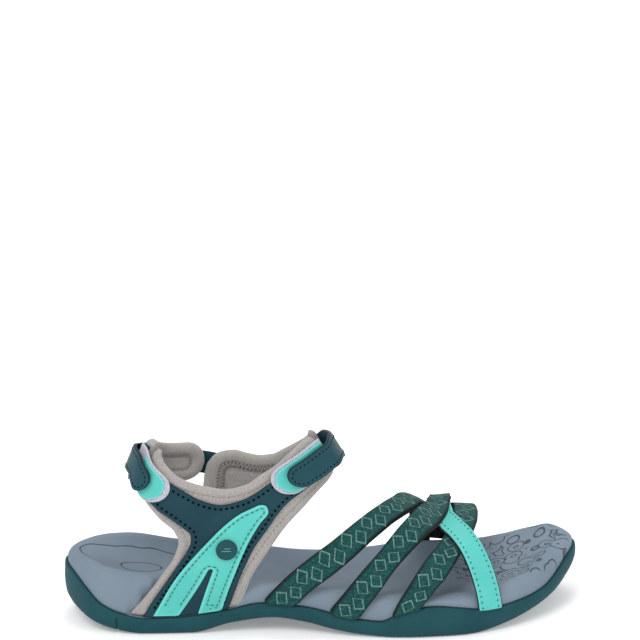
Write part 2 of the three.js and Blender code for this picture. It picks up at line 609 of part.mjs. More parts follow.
function ankleParts() {
  const half = JOINT_GAP / 2;
  const pad = HEEL_PAD;
  const padCover = [pad.from + pad.coverInset, pad.to - pad.coverInset];
  return [
    ['lateral_quarter_lining', 'lining_fabric', legSheet(quarterPatches(LATERAL_LINING), LAYER.lining)],
    ['lateral_quarter_cover', 'teal_pu', legSheet(quarterPatches(LATERAL_COVER), LAYER.cover)],
    ['lateral_fork_overlay', 'turquoise_pu', legSheet(forkPatches(), LAYER.overlay)],
    ['lateral_badge', 'badge_plastic', legSheet([discRows()], LAYER.badge)],
    ['medial_quarter_lining', 'lining_fabric', legSheet(mirrored(quarterPatches(MEDIAL_LINING)), LAYER.lining)],
    ['medial_quarter_cover', 'teal_pu', legSheet(mirrored(quarterPatches(MEDIAL_COVER)), LAYER.cover)],
    ['heel_pad', 'lining_fabric',
      ankleBand(HEEL_PAD_LINE, [pad.from, pad.to], pad.halfWidth, LAYER.lining, pad.from, pad.roundOver)],
    ['heel_pad_cover', 'teal_pu',
      ankleBand(HEEL_PAD_LINE, padCover, pad.halfWidth - pad.coverInset, LAYER.cover, padCover[0], pad.roundOver)],
    ['heel_landing_base', 'loop_fabric',
      ankleBand(HEEL_STRAP_LINE, HEEL_LANDING.base, HEEL_LANDING.baseHalf, LAYER.landingBase, HEEL_LANDING.base[1], 7)],
    ['heel_landing_patch', 'turquoise_pu',
      ankleBand(HEEL_STRAP_LINE, HEEL_LANDING.patch, HEEL_LANDING.patchHalf, LAYER.landing, HEEL_LANDING.patch[1], 6)],
    ['heel_hook_patch', 'hook_fabric',
      ankleBand(HEEL_STRAP_LINE, HEEL_STRAP.hook, STRAP_HALF_WIDTH - 1.2, LAYER.hook, HEEL_STRAP.hook[1], 4)],
    ['heel_strap_tab', 'strap_pu', ankleStrap(HEEL_STRAP_LINE, HEEL_STRAP, HEEL_STRAP.tab, [half, 0])],
    ['heel_strap_middle', 'strap_pu', ankleStrap(HEEL_STRAP_LINE, HEEL_STRAP, HEEL_STRAP.middle, [half, half])],
    ['heel_strap_base', 'strap_pu', ankleStrap(HEEL_STRAP_LINE, HEEL_STRAP, HEEL_STRAP.base, [half, half])],
    ['instep_landing_base', 'loop_fabric',
      ankleBand(INSTEP_STRAP_LINE, INSTEP_LANDING.base, INSTEP_LANDING.baseHalf, LAYER.landingBase,
        INSTEP_LANDING.base[0], 7)],
    ['instep_landing_patch', 'turquoise_pu',
      ankleBand(INSTEP_STRAP_LINE, INSTEP_LANDING.patch, INSTEP_LANDING.patchHalf, LAYER.landing,
        INSTEP_LANDING.patch[0], 6)],
    ['instep_hook_patch', 'hook_fabric',
      ankleBand(INSTEP_STRAP_LINE, INSTEP_STRAP.hook, STRAP_HALF_WIDTH - 1.2, LAYER.hook, INSTEP_STRAP.hook[0], 4)],
    ['instep_strap_tab', 'strap_pu', ankleStrap(INSTEP_STRAP_LINE, INSTEP_STRAP, INSTEP_STRAP.tab, [0, half])],
    ['instep_strap_middle', 'strap_pu',
      ankleStrap(INSTEP_STRAP_LINE, INSTEP_STRAP, INSTEP_STRAP.middle, [half, half])],
    ['instep_strap_base', 'strap_pu', ankleStrap(INSTEP_STRAP_LINE, INSTEP_STRAP, INSTEP_STRAP.base, [half, half])],
  ];
}

// ---------------------------------------------------------------- forefoot straps
const archHeight = smoothLine(ARCH_HEIGHT);

/** Point over the forefoot: degrees from the outer edge to the inner edge, at distance x. */
function archPoint(degrees, x, offset) {
  const angle = THREE.MathUtils.degToRad(degrees);
  const [cosine, sine] = [Math.cos(angle), Math.max(Math.sin(angle), 0)];
  const seam = outsoleTop(x) + FIT_GAP;
  const reach = cosine >= 0
    ? ARCH_APEX_Y - lateralEdge(x) - ARCH_SEAM_INSET
    : medialEdge(x) - ARCH_SEAM_INSET - ARCH_APEX_Y;
  const y = ARCH_APEX_Y - reach * power(cosine, 2 / ARCH_POWER);
  const z = seam + (archHeight(x) - seam) * sine ** (2 / ARCH_POWER);
  const out = new THREE.Vector3(0, -power(cosine, 2 - 2 / ARCH_POWER), sine ** (2 - 2 / ARCH_POWER)).normalize();
  return new THREE.Vector3(x, y, z).addScaledVector(out, offset);
}

/** Rows across a forefoot strap, from the outer sole edge over the foot to the inner one. */
function archRows(strap) {
  const centre = smoothLine(strap.line);
  const rows = [];
  const count = 30;
  const arcPerDegree = 0.75;
  for (let i = 0; i <= count; i += 1) {
    const degrees = (strap.end * i) / count;
    const slope = (centre(degrees + 1) - centre(degrees - 1)) / (2 * arcPerDegree);
    const half = strap.halfWidth * Math.hypot(1, slope);
    rows.push(acrossRow(3, (t) => [degrees, centre(degrees) + half * (2 * t - 1)]));
  }
  return rows;
}

function forefootParts() {
  return FOREFOOT.flatMap((strap) => {
    const rows = archRows(strap);
    const lift = (degrees) => strap.layers * LAYER_STEP * ease(degrees, ...strap.climb);
    const liningTop = (degrees) => lift(degrees) + WEB_LINING;
    const webBottom = (degrees) => liningTop(degrees) + FIT_GAP;
    const webTop = (degrees) => webBottom(degrees) + WEB_THICKNESS;
    return [
      [strap.lining, 'black_lining', sheetSolid([rows], archPoint, lift, liningTop)],
      [strap.name, strap.slot, sheetSolid([rows], archPoint, webBottom, webTop)],
    ];
  });
}

// ---------------------------------------------------------------- assembly
function soleParts(cut) {
  const pocket = archPlate(FIT_GAP, -1, SHANK.lift + SHANK.thickness + 1 + FIT_GAP);
  return [
    ['outsole', 'outsole_rubber', cut(outsoleBlank(), TREAD_GROOVES.map(grooveCutter))],
    ['footbed', 'footbed_foam', cut(footbedBlank(), [pocket])],
    ['arch_shank', 'shank_plastic', archPlate(0, SHANK.lift, SHANK.thickness)],
  ];
}

function buildSandal(cut) {
  const sandal = new THREE.Group();
  sandal.name = 'strappy_sport_sandal';
  for (const [name, slot, geometry] of [...soleParts(cut), ...ankleParts(), ...forefootParts()]) {
    const material = new THREE.MeshStandardMaterial({ color: COLOURS[slot], roughness: 0.7 });
    material.name = slot;
    const mesh = new THREE.Mesh(geometry, material);
    mesh.name = name;
    sandal.add(mesh);
  }
  const box = new THREE.Box3().setFromObject(sandal);
  const centre = box.getCenter(new THREE.Vector3());
  sandal.position.set(-centre.x, -centre.y, -box.min.z);
  return sandal;
}

export default buildSandal(await booleanTools());
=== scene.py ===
"""Looks of a strappy sport sandal (right foot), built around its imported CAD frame.

Shapes are worked out in the sandal's own millimetres, measured from the back of the heel:
+X to the toe, +Y to the inner (medial) side of the foot, +Z up. make_object() brings them
into the frame. The ankle and forefoot forms are the ones that the CAD part is built on.
"""
import math

import bpy
import numpy as np
from mathutils import Matrix, Vector
from mathutils.geometry import delaunay_2d_cdt


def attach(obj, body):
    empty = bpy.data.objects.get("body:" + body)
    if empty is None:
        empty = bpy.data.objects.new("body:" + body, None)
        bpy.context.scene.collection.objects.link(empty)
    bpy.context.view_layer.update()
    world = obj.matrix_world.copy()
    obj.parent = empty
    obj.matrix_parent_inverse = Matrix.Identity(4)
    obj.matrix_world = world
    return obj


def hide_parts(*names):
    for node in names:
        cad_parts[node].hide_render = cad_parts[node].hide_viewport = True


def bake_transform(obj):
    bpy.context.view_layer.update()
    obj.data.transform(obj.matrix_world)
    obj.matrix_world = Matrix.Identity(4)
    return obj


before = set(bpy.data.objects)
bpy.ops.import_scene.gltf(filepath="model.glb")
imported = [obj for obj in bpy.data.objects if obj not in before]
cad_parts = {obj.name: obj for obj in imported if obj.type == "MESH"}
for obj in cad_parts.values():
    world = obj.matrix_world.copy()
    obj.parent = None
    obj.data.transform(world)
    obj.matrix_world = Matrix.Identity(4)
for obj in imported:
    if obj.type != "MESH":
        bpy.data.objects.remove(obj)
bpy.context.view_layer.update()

MM = 0.001
FRAME_SHIFT = np.array([-130.2, -0.033, 0.0])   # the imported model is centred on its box

# ------------------------------------------------------------------ camera
VIEW = {"azimuth": -4.1, "elevation": 20.7, "distance": 1.6, "lens": 182.4, "sensor": 36.0}
AIM = np.array([-0.0012, -0.00203, 0.020])      # point of the sandal that the view is set up round
AIM_IN_VIEW = (0.0014, 0.3898)                  # where it shows: share of the width right, and down


def set_up_camera():
    turn, tilt = math.radians(VIEW["azimuth"]), math.radians(VIEW["elevation"])
    back = np.array([math.sin(turn) * math.cos(tilt), -math.cos(turn) * math.cos(tilt), math.sin(tilt)])
    right = np.array([math.cos(turn), math.sin(turn), 0.0])
    up = np.cross(back, right)
    reach = VIEW["lens"] / VIEW["sensor"]
    nod = math.atan(AIM_IN_VIEW[1] / reach)
    yaw = -math.atan(AIM_IN_VIEW[0] / reach)
    forward = -back * math.cos(nod) + up * math.sin(nod)
    up = up * math.cos(nod) + back * math.sin(nod)
    forward, right = (forward * math.cos(yaw) + right * math.sin(yaw),
                      right * math.cos(yaw) - forward * math.sin(yaw))
    camera = bpy.data.objects.new("camera", bpy.data.cameras.new("camera"))
    camera.data.lens = VIEW["lens"]
    camera.data.sensor_width = VIEW["sensor"]
    camera.data.clip_end = 20
    place = Matrix(np.column_stack([right, up, -forward]).tolist()).to_4x4()
    place.translation = Vector(AIM + back * VIEW["distance"])
    camera.matrix_world = place
    bpy.context.scene.collection.objects.link(camera)
    bpy.context.scene.camera = camera


set_up_camera()


# ------------------------------------------------------------------ small helpers
def mix(a, b, t):
    return a + (b - a) * t


def power(value, exponent):
    return np.sign(value) * np.abs(value) ** exponent


def ease(value, start, stop):
    t = np.clip((np.asarray(value, float) - start) / (stop - start), 0, 1)
    return t * t * (3 - 2 * t)


def smooth_line(knots):
    """Smooth line through (position, value) knots that never overshoots them."""
    x, y = np.array(knots, float).T
    step = np.diff(x)
    slope = np.diff(y) / step
    tangent = np.concatenate([[slope[0]], np.zeros(len(x) - 2), [slope[-1]]])
    for i in range(1, len(x) - 1):
        if slope[i - 1] * slope[i] > 0:
            before, after = 2 * step[i] + step[i - 1], step[i] + 2 * step[i - 1]
            tangent[i] = (before + after) / (before / slope[i - 1] + after / slope[i])

    def at(position):
        position = np.asarray(position, float)
        i = np.clip(np.searchsorted(x, position, side="right") - 1, 0, len(x) - 2)
        h = step[i]
        t = np.clip((position - x[i]) / h, 0, 1)
        start = (1 + 2 * t) * (1 - t) ** 2 * y[i] + t * (1 - t) ** 2 * h * tangent[i]
        return start + t * t * (3 - 2 * t) * y[i + 1] + t * t * (t - 1) * h * tangent[i + 1]

    return at


# ------------------------------------------------------------------ sole form
SOLE_START, SOLE_END = 3.4, 257.0
LATERAL_OUTLINE = [
    (3.4, 0), (10, 18.5), (17, 26), (27, 30.3), (45, 33), (70, 33.5), (98, 34.5), (120, 37.5), (145, 43.5),
    (170, 47), (190, 46), (210, 40.5), (228, 30.5), (242, 18), (251, 4), (257, -12),
]
MEDIAL_OUTLINE = [
    (3.4, 0), (10, 18.5), (17, 25.5), (27, 29.8), (45, 32), (70, 30), (98, 26.5), (120, 28), (145, 35),
    (170, 41.5), (190, 43.5), (210, 43), (228, 39.5), (242, 33.5), (251, 26.5), (257, 12),
]
ground_line = smooth_line([
    (3.4, 12), (7, 9), (12, 6), (19, 3.4), (28, 1.4), (40, 0), (64, 0), (84, 5), (104, 7.4), (118, 5.7),
    (133, 2.4), (148, 0.6), (160, 0), (200, 0), (218, 2.6), (238, 7.8), (248, 11.8), (257, 18),
])
outsole_top = smooth_line([
    (3.4, 28), (7, 26), (12, 21.5), (21, 13.8), (33, 9.6), (43, 8.2), (55, 8.4), (68, 9.6), (83, 12.2),
    (98, 15.2), (118, 13.8), (138, 9.8), (154, 8.2), (165, 13), (180, 15.8), (193, 14.3), (207, 12),
    (218, 12.3), (228, 13.2), (238, 15.4), (245, 19.4), (250.5, 23), (257, 26.8),
])
lateral_rim = smooth_line([
    (3.4, 33.5), (33, 30), (60, 27.5), (85, 24.5), (118, 22.5), (150, 20.5), (180, 19.8), (210, 20),
    (230, 22.5), (245, 27.5), (257, 31),
])
medial_rim = smooth_line([
    (3.4, 33.5), (33, 32.5), (60, 28.5), (100, 25.5), (118, 22.5), (148, 19.4), (180, 19), (212, 20.5),
    (225, 23.5), (241, 29), (250, 32), (257, 31),
])
dish_depth = smooth_line([
    (3.4, 1.5), (25, 7.5), (60, 6), (100, 3.5), (150, 3), (200, 3), (240, 2), (257, 1),
])


def sole_turn(x):
    share = (np.asarray(x, float) - SOLE_START) / (SOLE_END - SOLE_START)
    return np.arccos(np.clip(1 - 2 * share, -1, 1))


lateral_by_turn = smooth_line([(float(sole_turn(x)), -y) for x, y in LATERAL_OUTLINE])
medial_by_turn = smooth_line([(float(sole_turn(x)), y) for x, y in MEDIAL_OUTLINE])


def lateral_edge(x):
    return lateral_by_turn(sole_turn(x))


def medial_edge(x):
    return medial_by_turn(sole_turn(x))


# ------------------------------------------------------------------ ankle form
LEG_POWER = 2.6
LEG_CENTRE_Y = -1.0
LEG_HALF_BREADTH = 31.5
GIRTH_HEIGHT = 75.0
FOOT_INSET = 4.2               # the form starts this far inside the edge of the sole
FOOT_RISE = (9, 40)            # heights between which it turns into the ankle section
LAYER_RISE = (9, 34)           # heights between which a layer goes from half its offset to all of it


def heel_back(z):
    return 31 + 0.48 * (z - 71)


def instep_front(z):
    return 143 - 0.55 * (z - GIRTH_HEIGHT)


# Shallow curves that the strapped-in ankle is pressed to behind the heel and over the instep.
HEEL_PRESS = {"x": 41.6, "z": 73, "lean": 0.4, "y": -8, "radius": 55, "blend": 3}
INSTEP_PRESS = {"x": 130, "z": 84, "lean": -0.6, "y": -12, "radius": -100, "blend": 3}


def press_at(press, y, z):
    return press["x"] + press["lean"] * (z - press["z"]) + (y - press["y"]) ** 2 / (2 * press["radius"])


def pressed_in(x, y, z):
    """Distance x on the round section moved in to the pressed curves, with soft corners."""
    low, high = press_at(HEEL_PRESS, y, z), press_at(INSTEP_PRESS, y, z)
    x = (x + low + np.hypot(x - low, HEEL_PRESS["blend"])) / 2
    return (x + high - np.hypot(x - high, INSTEP_PRESS["blend"])) / 2


def leg_section(angle, z, offset):
    centre = (heel_back(z) + instep_front(z)) / 2
    reach = (instep_front(z) - heel_back(z)) / 2 + offset
    x = centre - reach * power(np.cos(angle), 2 / LEG_POWER)
    return x, LEG_CENTRE_Y - (LEG_HALF_BREADTH + offset) * power(np.sin(angle), 2 / LEG_POWER)


GIRTH_ANGLES = np.linspace(0, math.pi, 1441)
GIRTH_X, GIRTH_Y = leg_section(GIRTH_ANGLES, GIRTH_HEIGHT, 0)
GIRTH = np.concatenate([[0], np.cumsum(np.hypot(np.diff(GIRTH_X), np.diff(GIRTH_Y)))])
HALF_GIRTH = GIRTH[-1]


def leg_point(u, z, offset):
    """Points on the ankle form: u runs round it from the back of the heel, outer side positive."""
    u, z, offset = np.broadcast_arrays(*(np.asarray(v, float) for v in (u, z, offset)))
    wrapped = (u + 3 * HALF_GIRTH) % (2 * HALF_GIRTH) - HALF_GIRTH
    side = np.where(wrapped >= 0, 1, -1)
    grown = offset * mix(0.5, 1, ease(z, *LAYER_RISE))
    angle = side * np.interp(np.abs(wrapped), GIRTH, GIRTH_ANGLES)
    round_x, round_y = leg_section(angle, z, 0)
    x, y = leg_section(angle, z, grown)
    x = x - round_x + pressed_in(round_x, round_y, z)
    tucked = FOOT_INSET - grown
    edge = np.where(side > 0, lateral_edge(x) + tucked, medial_edge(x) - tucked)
    return np.stack([x, mix(edge, y, ease(z, *FOOT_RISE)), z], -1)


# ------------------------------------------------------------------ forefoot form
ARCH_POWER = 2.2
ARCH_APEX_Y = 4.0
ARCH_SEAM_INSET = 1.2
ARCH_LIFT = 0.3
arch_height = smooth_line([
    (100, 66), (150, 58.5), (170, 53), (178, 49.2), (187, 44.4), (197, 45.2), (207, 44.6), (220, 42.5),
])


def arch_point(degrees, x, offset):
    """Points over the forefoot: degrees from the outer sole edge to the inner one, at distance x."""
    degrees, x, offset = np.broadcast_arrays(*(np.asarray(v, float) for v in (degrees, x, offset)))
    cosine = np.cos(np.radians(degrees))
    sine = np.maximum(np.sin(np.radians(degrees)), 0)
    seam = outsole_top(x) + ARCH_LIFT
    reach = np.where(cosine >= 0, ARCH_APEX_Y - lateral_edge(x), medial_edge(x) - ARCH_APEX_Y)
    y = ARCH_APEX_Y - (reach - ARCH_SEAM_INSET) * power(cosine, 2 / ARCH_POWER)
    z = seam + (arch_height(x) - seam) * sine ** (2 / ARCH_POWER)
    out = np.stack([0 * x, -power(cosine, 2 - 2 / ARCH_POWER), sine ** (2 - 2 / ARCH_POWER)], -1)
    out /= np.linalg.norm(out, axis=-1, keepdims=True)
    return np.stack([x, y, z], -1) + out * offset[..., None]


# ------------------------------------------------------------------ meshes
def make_object(name, points, faces, look, uv=None, edge=None):
    """Object from millimetre points; uv and edge (distance to the rim) are given per point."""
    mesh = bpy.data.meshes.new(name)
    mesh.from_pydata(((np.asarray(points) + FRAME_SHIFT) * MM).tolist(), [], faces)
    mesh.validate()
    mesh.polygons.foreach_set("use_smooth", [True] * len(mesh.polygons))
    if uv is not None:
        corners = np.zeros(len(mesh.loops), int)
        mesh.loops.foreach_get("vertex_index", corners)
        layer = mesh.uv_layers.new(name="flat")
        layer.data.foreach_set("uv", np.asarray(uv, float)[corners].ravel())
    if edge is not None:
        attribute = mesh.attributes.new("edge", "FLOAT", "POINT")
        attribute.data.foreach_set("value", np.asarray(edge, np.float32))
    mesh.materials.append(look)
    made = bpy.data.objects.new(name, mesh)
    bpy.context.scene.collection.objects.link(made)
    return made


def grid_faces(rows, columns):
    """Quads of a point grid stored row by row, each row closed into a ring."""
    return [(i * columns + j, i * columns + (j + 1) % columns,
             (i + 1) * columns + (j + 1) % columns, (i + 1) * columns + j)
            for i in range(rows - 1) for j in range(columns)]


def rounded(distance, radius):
    """Share of the full height at a distance from a rounded rim."""
    return np.sqrt(1 - (1 - np.clip(np.asarray(distance, float) / radius, 0, 1)) ** 2)


# ------------------------------------------------------------------ panels cut to an outline
def resample(line, spacing, closed):
    line = np.asarray(line, float)
    if closed:
        line = np.vstack([line, line[:1]])
    length = np.concatenate([[0], np.cumsum(np.hypot(*np.diff(line, axis=0).T))])
    count = max(3, int(round(length[-1] / spacing)))
    places = np.linspace(0, length[-1], count + 1)[:count if closed else None]
    return np.column_stack([np.interp(places, length, line[:, k]) for k in (0, 1)])


CORNER_TURN = 35                # degrees of turn, from two points before to two after, that make a corner
NOWHERE_LOW = -1e9


def round_corners(outline, radius, spacing=0.5, above=NOWHERE_LOW):
    """Closed outline whose sharp corners become curves that start radius before them."""
    line = resample(outline, spacing, True)
    reach = max(1, int(round(radius / spacing)))
    ahead = np.roll(line, -2, axis=0) - line
    behind = line - np.roll(line, 2, axis=0)
    turn = np.abs((ahead[:, 0] * behind[:, 1] - ahead[:, 1] * behind[:, 0])
                  / (np.linalg.norm(ahead, axis=1) * np.linalg.norm(behind, axis=1) + 1e-9))
    made = line.copy()
    taken = np.zeros(len(line), bool)
    for corner in np.argsort(-turn):
        if turn[corner] < math.sin(math.radians(CORNER_TURN)) or taken[corner] or line[corner, 1] < above:
            continue
        near = [(corner + k) % len(line) for k in range(-reach, reach + 1)]
        taken[near] = True
        first, last = line[near[0]], line[near[-1]]
        for k, index in enumerate(near):
            t = k / (2 * reach)
            made[index] = (1 - t) ** 2 * first + 2 * t * (1 - t) * line[corner] + t * t * last
    return made


def counter_clockwise(loop):
    following = np.roll(loop, -1, axis=0)
    area = np.sum(loop[:, 0] * following[:, 1] - following[:, 0] * loop[:, 1])
    return loop if area > 0 else loop[::-1]


def distance_to(loop, points):
    """Distance of each point to a closed outline."""
    best = np.full(len(points), np.inf)
    for start, end in zip(loop, np.roll(loop, -1, axis=0)):
        step = end - start
        away = points - start
        t = np.clip(away @ step / (step @ step + 1e-12), 0, 1)
        best = np.minimum(best, np.hypot(*(away - t[:, None] * step).T))
    return best


def inside(loop, points):
    found = np.zeros(len(points), bool)
    for (ax, ay), (bx, by) in zip(loop, np.roll(loop, -1, axis=0)):
        if ay == by:
            continue
        spans = (ay > points[:, 1]) != (by > points[:, 1])
        crossing = (bx - ax) * (points[:, 1] - ay) / (by - ay) + ax
        found ^= spans & (points[:, 0] < crossing)
    return found


def inset(loop, distance):
    """Points of a closed outline moved inward, leaving out those that come too near another side."""
    loop = counter_clockwise(loop)
    along = np.roll(loop, -1, axis=0) - np.roll(loop, 1, axis=0)
    along /= np.linalg.norm(along, axis=1, keepdims=True) + 1e-12
    moved = loop + distance * np.column_stack([-along[:, 1], along[:, 0]])
    keep = inside(loop, moved) & (distance_to(loop, moved) > 0.97 * distance)
    return moved[keep]


def seam_line(outline, distance):
    """Line that runs at a distance inside a closed outline."""
    return inset(resample(outline, 1, True), distance)


def open_part(line, keep):
    """The kept points of a closed line, as one open line."""
    first = int(np.argmax(keep & ~np.roll(keep, 1)))
    return np.roll(line, -first, axis=0)[np.roll(keep, -first)]


EDGE_SPACING = 1.1


def fill_panel(outline, rims, spacing):
    """Triangles that fill an outline, with rows of points at the rim distances just inside it."""
    loop = counter_clockwise(resample(outline, EDGE_SPACING, True))
    rows = [inset(loop, rim) for rim in rims]
    low, high = loop.min(0), loop.max(0)
    across, up = np.meshgrid(np.arange(low[0], high[0], spacing), np.arange(low[1], high[1], spacing * 0.87))
    across[1::2] += spacing / 2
    middle = np.column_stack([across.ravel(), up.ravel()])
    middle = middle[inside(loop, middle)]
    middle = middle[distance_to(loop, middle) > max(rims) + 0.4 * spacing]
    points = np.vstack([loop, *rows, middle])
    border = [(i, (i + 1) % len(loop)) for i in range(len(loop))]
    flat, _, triangles, *_ = delaunay_2d_cdt([Vector(p) for p in points], border, [], 1, 1e-4)
    flat = np.array([tuple(p) for p in flat])
    return flat, [tuple(t) for t in triangles], distance_to(loop, flat)


def open_edges(faces):
    edges = {}
    for face in faces:
        for k, start in enumerate(face):
            edges[(start, face[(k + 1) % len(face)])] = True
    return [pair for pair in edges if (pair[1], pair[0]) not in edges]


def make_panel(name, outline, place, inner, outer, look, rims, spacing=3.0):
    """Closed sheet on a form. inner and outer give the face offsets from (distance to rim, a, b)."""
    flat, triangles, edge = fill_panel(outline, rims, spacing)
    count = len(flat)
    a, b = flat.T
    points = np.vstack([place(a, b, outer(edge, a, b)), place(a, b, inner(edge, a, b))])
    faces = list(triangles)
    faces += [(t[2] + count, t[1] + count, t[0] + count) for t in triangles]
    faces += [(p, p + count, q + count, q) for p, q in open_edges(triangles)]
    made = make_object(name, points, faces, look, np.vstack([flat, flat]), np.concatenate([edge, edge]))
    face_outward(made)
    return made


def face_outward(made):
    """Turns a closed mesh inside out if its volume comes out negative."""
    mesh = made.data
    count = len(mesh.vertices)
    points = np.zeros(count * 3)
    mesh.vertices.foreach_get("co", points)
    points = points.reshape(-1, 3)
    mesh.calc_loop_triangles()
    corners = np.zeros(len(mesh.loop_triangles) * 3, int)
    mesh.loop_triangles.foreach_get("vertices", corners)
    a, b, c = (points[corners.reshape(-1, 3)[:, k]] for k in range(3))
    if np.sum(a * np.cross(b, c)) < 0:
        mesh.flip_normals()


def flat_sheet(name, outline, place, bottom, thickness, look, radius=0.5, spacing=3.0, profile=None):
    """Even sheet with a rounded rim; bottom(a, b) is its underside, profile(edge) raises or sinks it."""
    shape = profile or (lambda edge: 0 * edge)

    def outer(edge, a, b):
        return bottom(a, b) + thickness * (1 + rounded(edge, radius)) / 2 + shape(edge)

    def inner(edge, a, b):
        return bottom(a, b) + thickness * (1 - rounded(edge, radius)) / 2

    rims = (0.25 * radius, 0.6 * radius, 1.05 * radius, 1.2, 1.8, 2.3, 3.0)
    return make_panel(name, outline, place, inner, outer, look, rims, spacing)


# ------------------------------------------------------------------ thread
THREAD_SQUASH = 0.7             # height of a thread over its width


def tubes(name, paths, normals, radius, look, sides=6):
    """Round threads along paths of shape (threads, points, 3), thinned at both ends."""
    threads, count = paths.shape[:2]
    along = np.gradient(paths, axis=1)
    along /= np.linalg.norm(along, axis=2, keepdims=True) + 1e-9
    across = np.cross(normals, along)
    across /= np.linalg.norm(across, axis=2, keepdims=True) + 1e-9
    place = np.linspace(-1, 1, count)
    thick = radius * np.sqrt(1 - 0.92 * place ** (4 if count < 12 else 60))
    turn = 2 * math.pi * np.arange(sides) / sides
    ring = (np.cos(turn)[None, None, :, None] * across[:, :, None, :]
            + THREAD_SQUASH * np.sin(turn)[None, None, :, None] * normals[:, :, None, :])
    points = (paths[:, :, None, :] + ring * thick[None, :, None, None]).reshape(-1, 3)
    faces = []
    for k in range(threads):
        base = k * count * sides
        faces += [tuple(base + v for v in face) for face in grid_faces(count, sides)]
        faces.append(tuple(base + v for v in reversed(range(sides))))
        faces.append(tuple(base + (count - 1) * sides + v for v in range(sides)))
    made = make_object(name, points, faces, look)
    face_outward(made)
    return made


def stitch_row(name, line, place, height, look, length=1.5, pitch=2.7, radius=0.3):
    """Single stitches along a flat line that lies on a form at a height."""
    line = resample(line, 0.4, False)
    a, b = line.T
    lift = height(a, b) if callable(height) else height
    path = place(a, b, lift)
    normal = place(a, b, lift + 1.0) - path
    normal /= np.linalg.norm(normal, axis=1, keepdims=True)
    reach = np.concatenate([[0], np.cumsum(np.linalg.norm(np.diff(path, axis=0), axis=1))])
    count = max(1, int((reach[-1] - length) / pitch))
    starts = np.linspace(0, reach[-1] - length, count + 1)
    steps = starts[:, None] + np.linspace(0, length, 5)[None, :]
    middle, out = (np.stack([np.interp(steps, reach, source[:, k]) for k in range(3)], -1)
                   for source in (path, normal))
    arch = np.sin(np.linspace(0, math.pi, 5)) * radius * 0.6
    return tubes(name, middle + out * arch[None, :, None], out, radius, look)


def zigzag(name, line, place, height, look, half_width=1.2, pitch=1.0, radius=0.28):
    """One thread that zigzags along a flat line."""
    line = resample(line, pitch / 2, False)
    along = np.gradient(line, axis=0)
    along /= np.linalg.norm(along, axis=1, keepdims=True)
    swing = half_width * np.where(np.arange(len(line)) % 2, 1, -1)
    line = line + np.column_stack([-along[:, 1], along[:, 0]]) * swing[:, None]
    line = resample(line, 0.6, False)
    a, b = line.T
    path = place(a, b, height)
    normal = place(a, b, height + 1.0) - path
    normal /= np.linalg.norm(normal, axis=1, keepdims=True)
    return tubes(name, path[None], normal[None], radius, look, sides=5)


# ------------------------------------------------------------------ materials
def srgb(red, green, blue):
    """Linear colour from the 0-255 values of a colour chart."""
    channels = [((v / 255 + 0.055) / 1.055) ** 2.4 if v > 10 else v / 255 / 12.92 for v in (red, green, blue)]
    return (*channels, 1.0)


class Signal:
    """Output of a shader node; arithmetic on it adds the maths nodes."""

    def __init__(self, look, socket):
        self.look = look
        self.socket = socket

    def __add__(self, other):
        return self.look.maths("ADD", self, other)

    def __sub__(self, other):
        return self.look.maths("SUBTRACT", self, other)

    def __rsub__(self, other):
        return self.look.maths("SUBTRACT", other, self)

    def __mul__(self, other):
        return self.look.maths("MULTIPLY", self, other)

    def __truediv__(self, other):
        return self.look.maths("DIVIDE", self, other)

    def __abs__(self):
        return self.look.maths("ABSOLUTE", self)


class Look:
    """A procedural material under construction."""

    def __init__(self, name, **sockets):
        self.material = bpy.data.materials.new(name)
        self.material.use_nodes = True
        self.tree = self.material.node_tree
        self.shader = self.tree.nodes["Principled BSDF"]
        for socket, value in sockets.items():
            self.feed(self.shader.inputs[socket.replace("_", " ")], value)

    def feed(self, socket, value):
        if isinstance(value, Signal):
            self.tree.links.new(value.socket, socket)
        else:
            socket.default_value = value

    def node(self, kind, inputs, output=0, **settings):
        made = self.tree.nodes.new(kind)
        for key, value in settings.items():
            setattr(made, key, value)
        for key, value in inputs.items():
            self.feed(made.inputs[key], value)
        return Signal(self, made.outputs[output])

    def maths(self, operation, a, b=0.0):
        return self.node("ShaderNodeMath", {0: a, 1: b}, operation=operation)

    def fraction(self, value):
        return self.maths("FRACT", value)

    def wave(self, value):
        """Triangle wave of the value: half at whole numbers and nothing halfway between them."""
        return abs(self.fraction(value) - 0.5)

    def position(self):
        return self.node("ShaderNodeTexCoord", {}, output="Object")

    def flat(self):
        """Millimetres along and across the piece laid flat."""
        return self.node("ShaderNodeUVMap", {}, uv_map="flat")

    def edge(self):
        """Millimetres from the rim."""
        return self.node("ShaderNodeAttribute", {}, output="Fac", attribute_name="edge")

    def split(self, vector):
        """The first two coordinates of a vector."""
        made = self.tree.nodes.new("ShaderNodeSeparateXYZ")
        self.feed(made.inputs[0], vector)
        return Signal(self, made.outputs[0]), Signal(self, made.outputs[1])

    def scaled(self, vector, scale):
        return self.node("ShaderNodeMapping", {"Vector": vector, "Scale": scale})

    def noise(self, vector, scale, detail=2.0):
        return self.node("ShaderNodeTexNoise", {"Vector": vector, "Scale": scale, "Detail": detail})

    def cells(self, vector, scale):
        return self.node("ShaderNodeTexVoronoi", {"Vector": vector, "Scale": scale}, output="Distance")

    def ramp(self, value, low, high, to_low=0.0, to_high=1.0):
        return self.node("ShaderNodeMapRange", {"Value": value, "From Min": low, "From Max": high,
                                                "To Min": to_low, "To Max": to_high})

    def blend(self, factor, a, b):
        return self.node("ShaderNodeMix", {"Factor": factor, 6: a, 7: b}, output=2, data_type="RGBA")

    def bump(self, height, depth_mm):
        return self.node("ShaderNodeBump", {"Height": height, "Distance": depth_mm * MM, "Strength": 1.0})

    def finish(self, colour, roughness, normal):
        for socket, value in (("Base Color", colour), ("Roughness", roughness), ("Normal", normal)):
            self.feed(self.shader.inputs[socket], value)
        return self.material


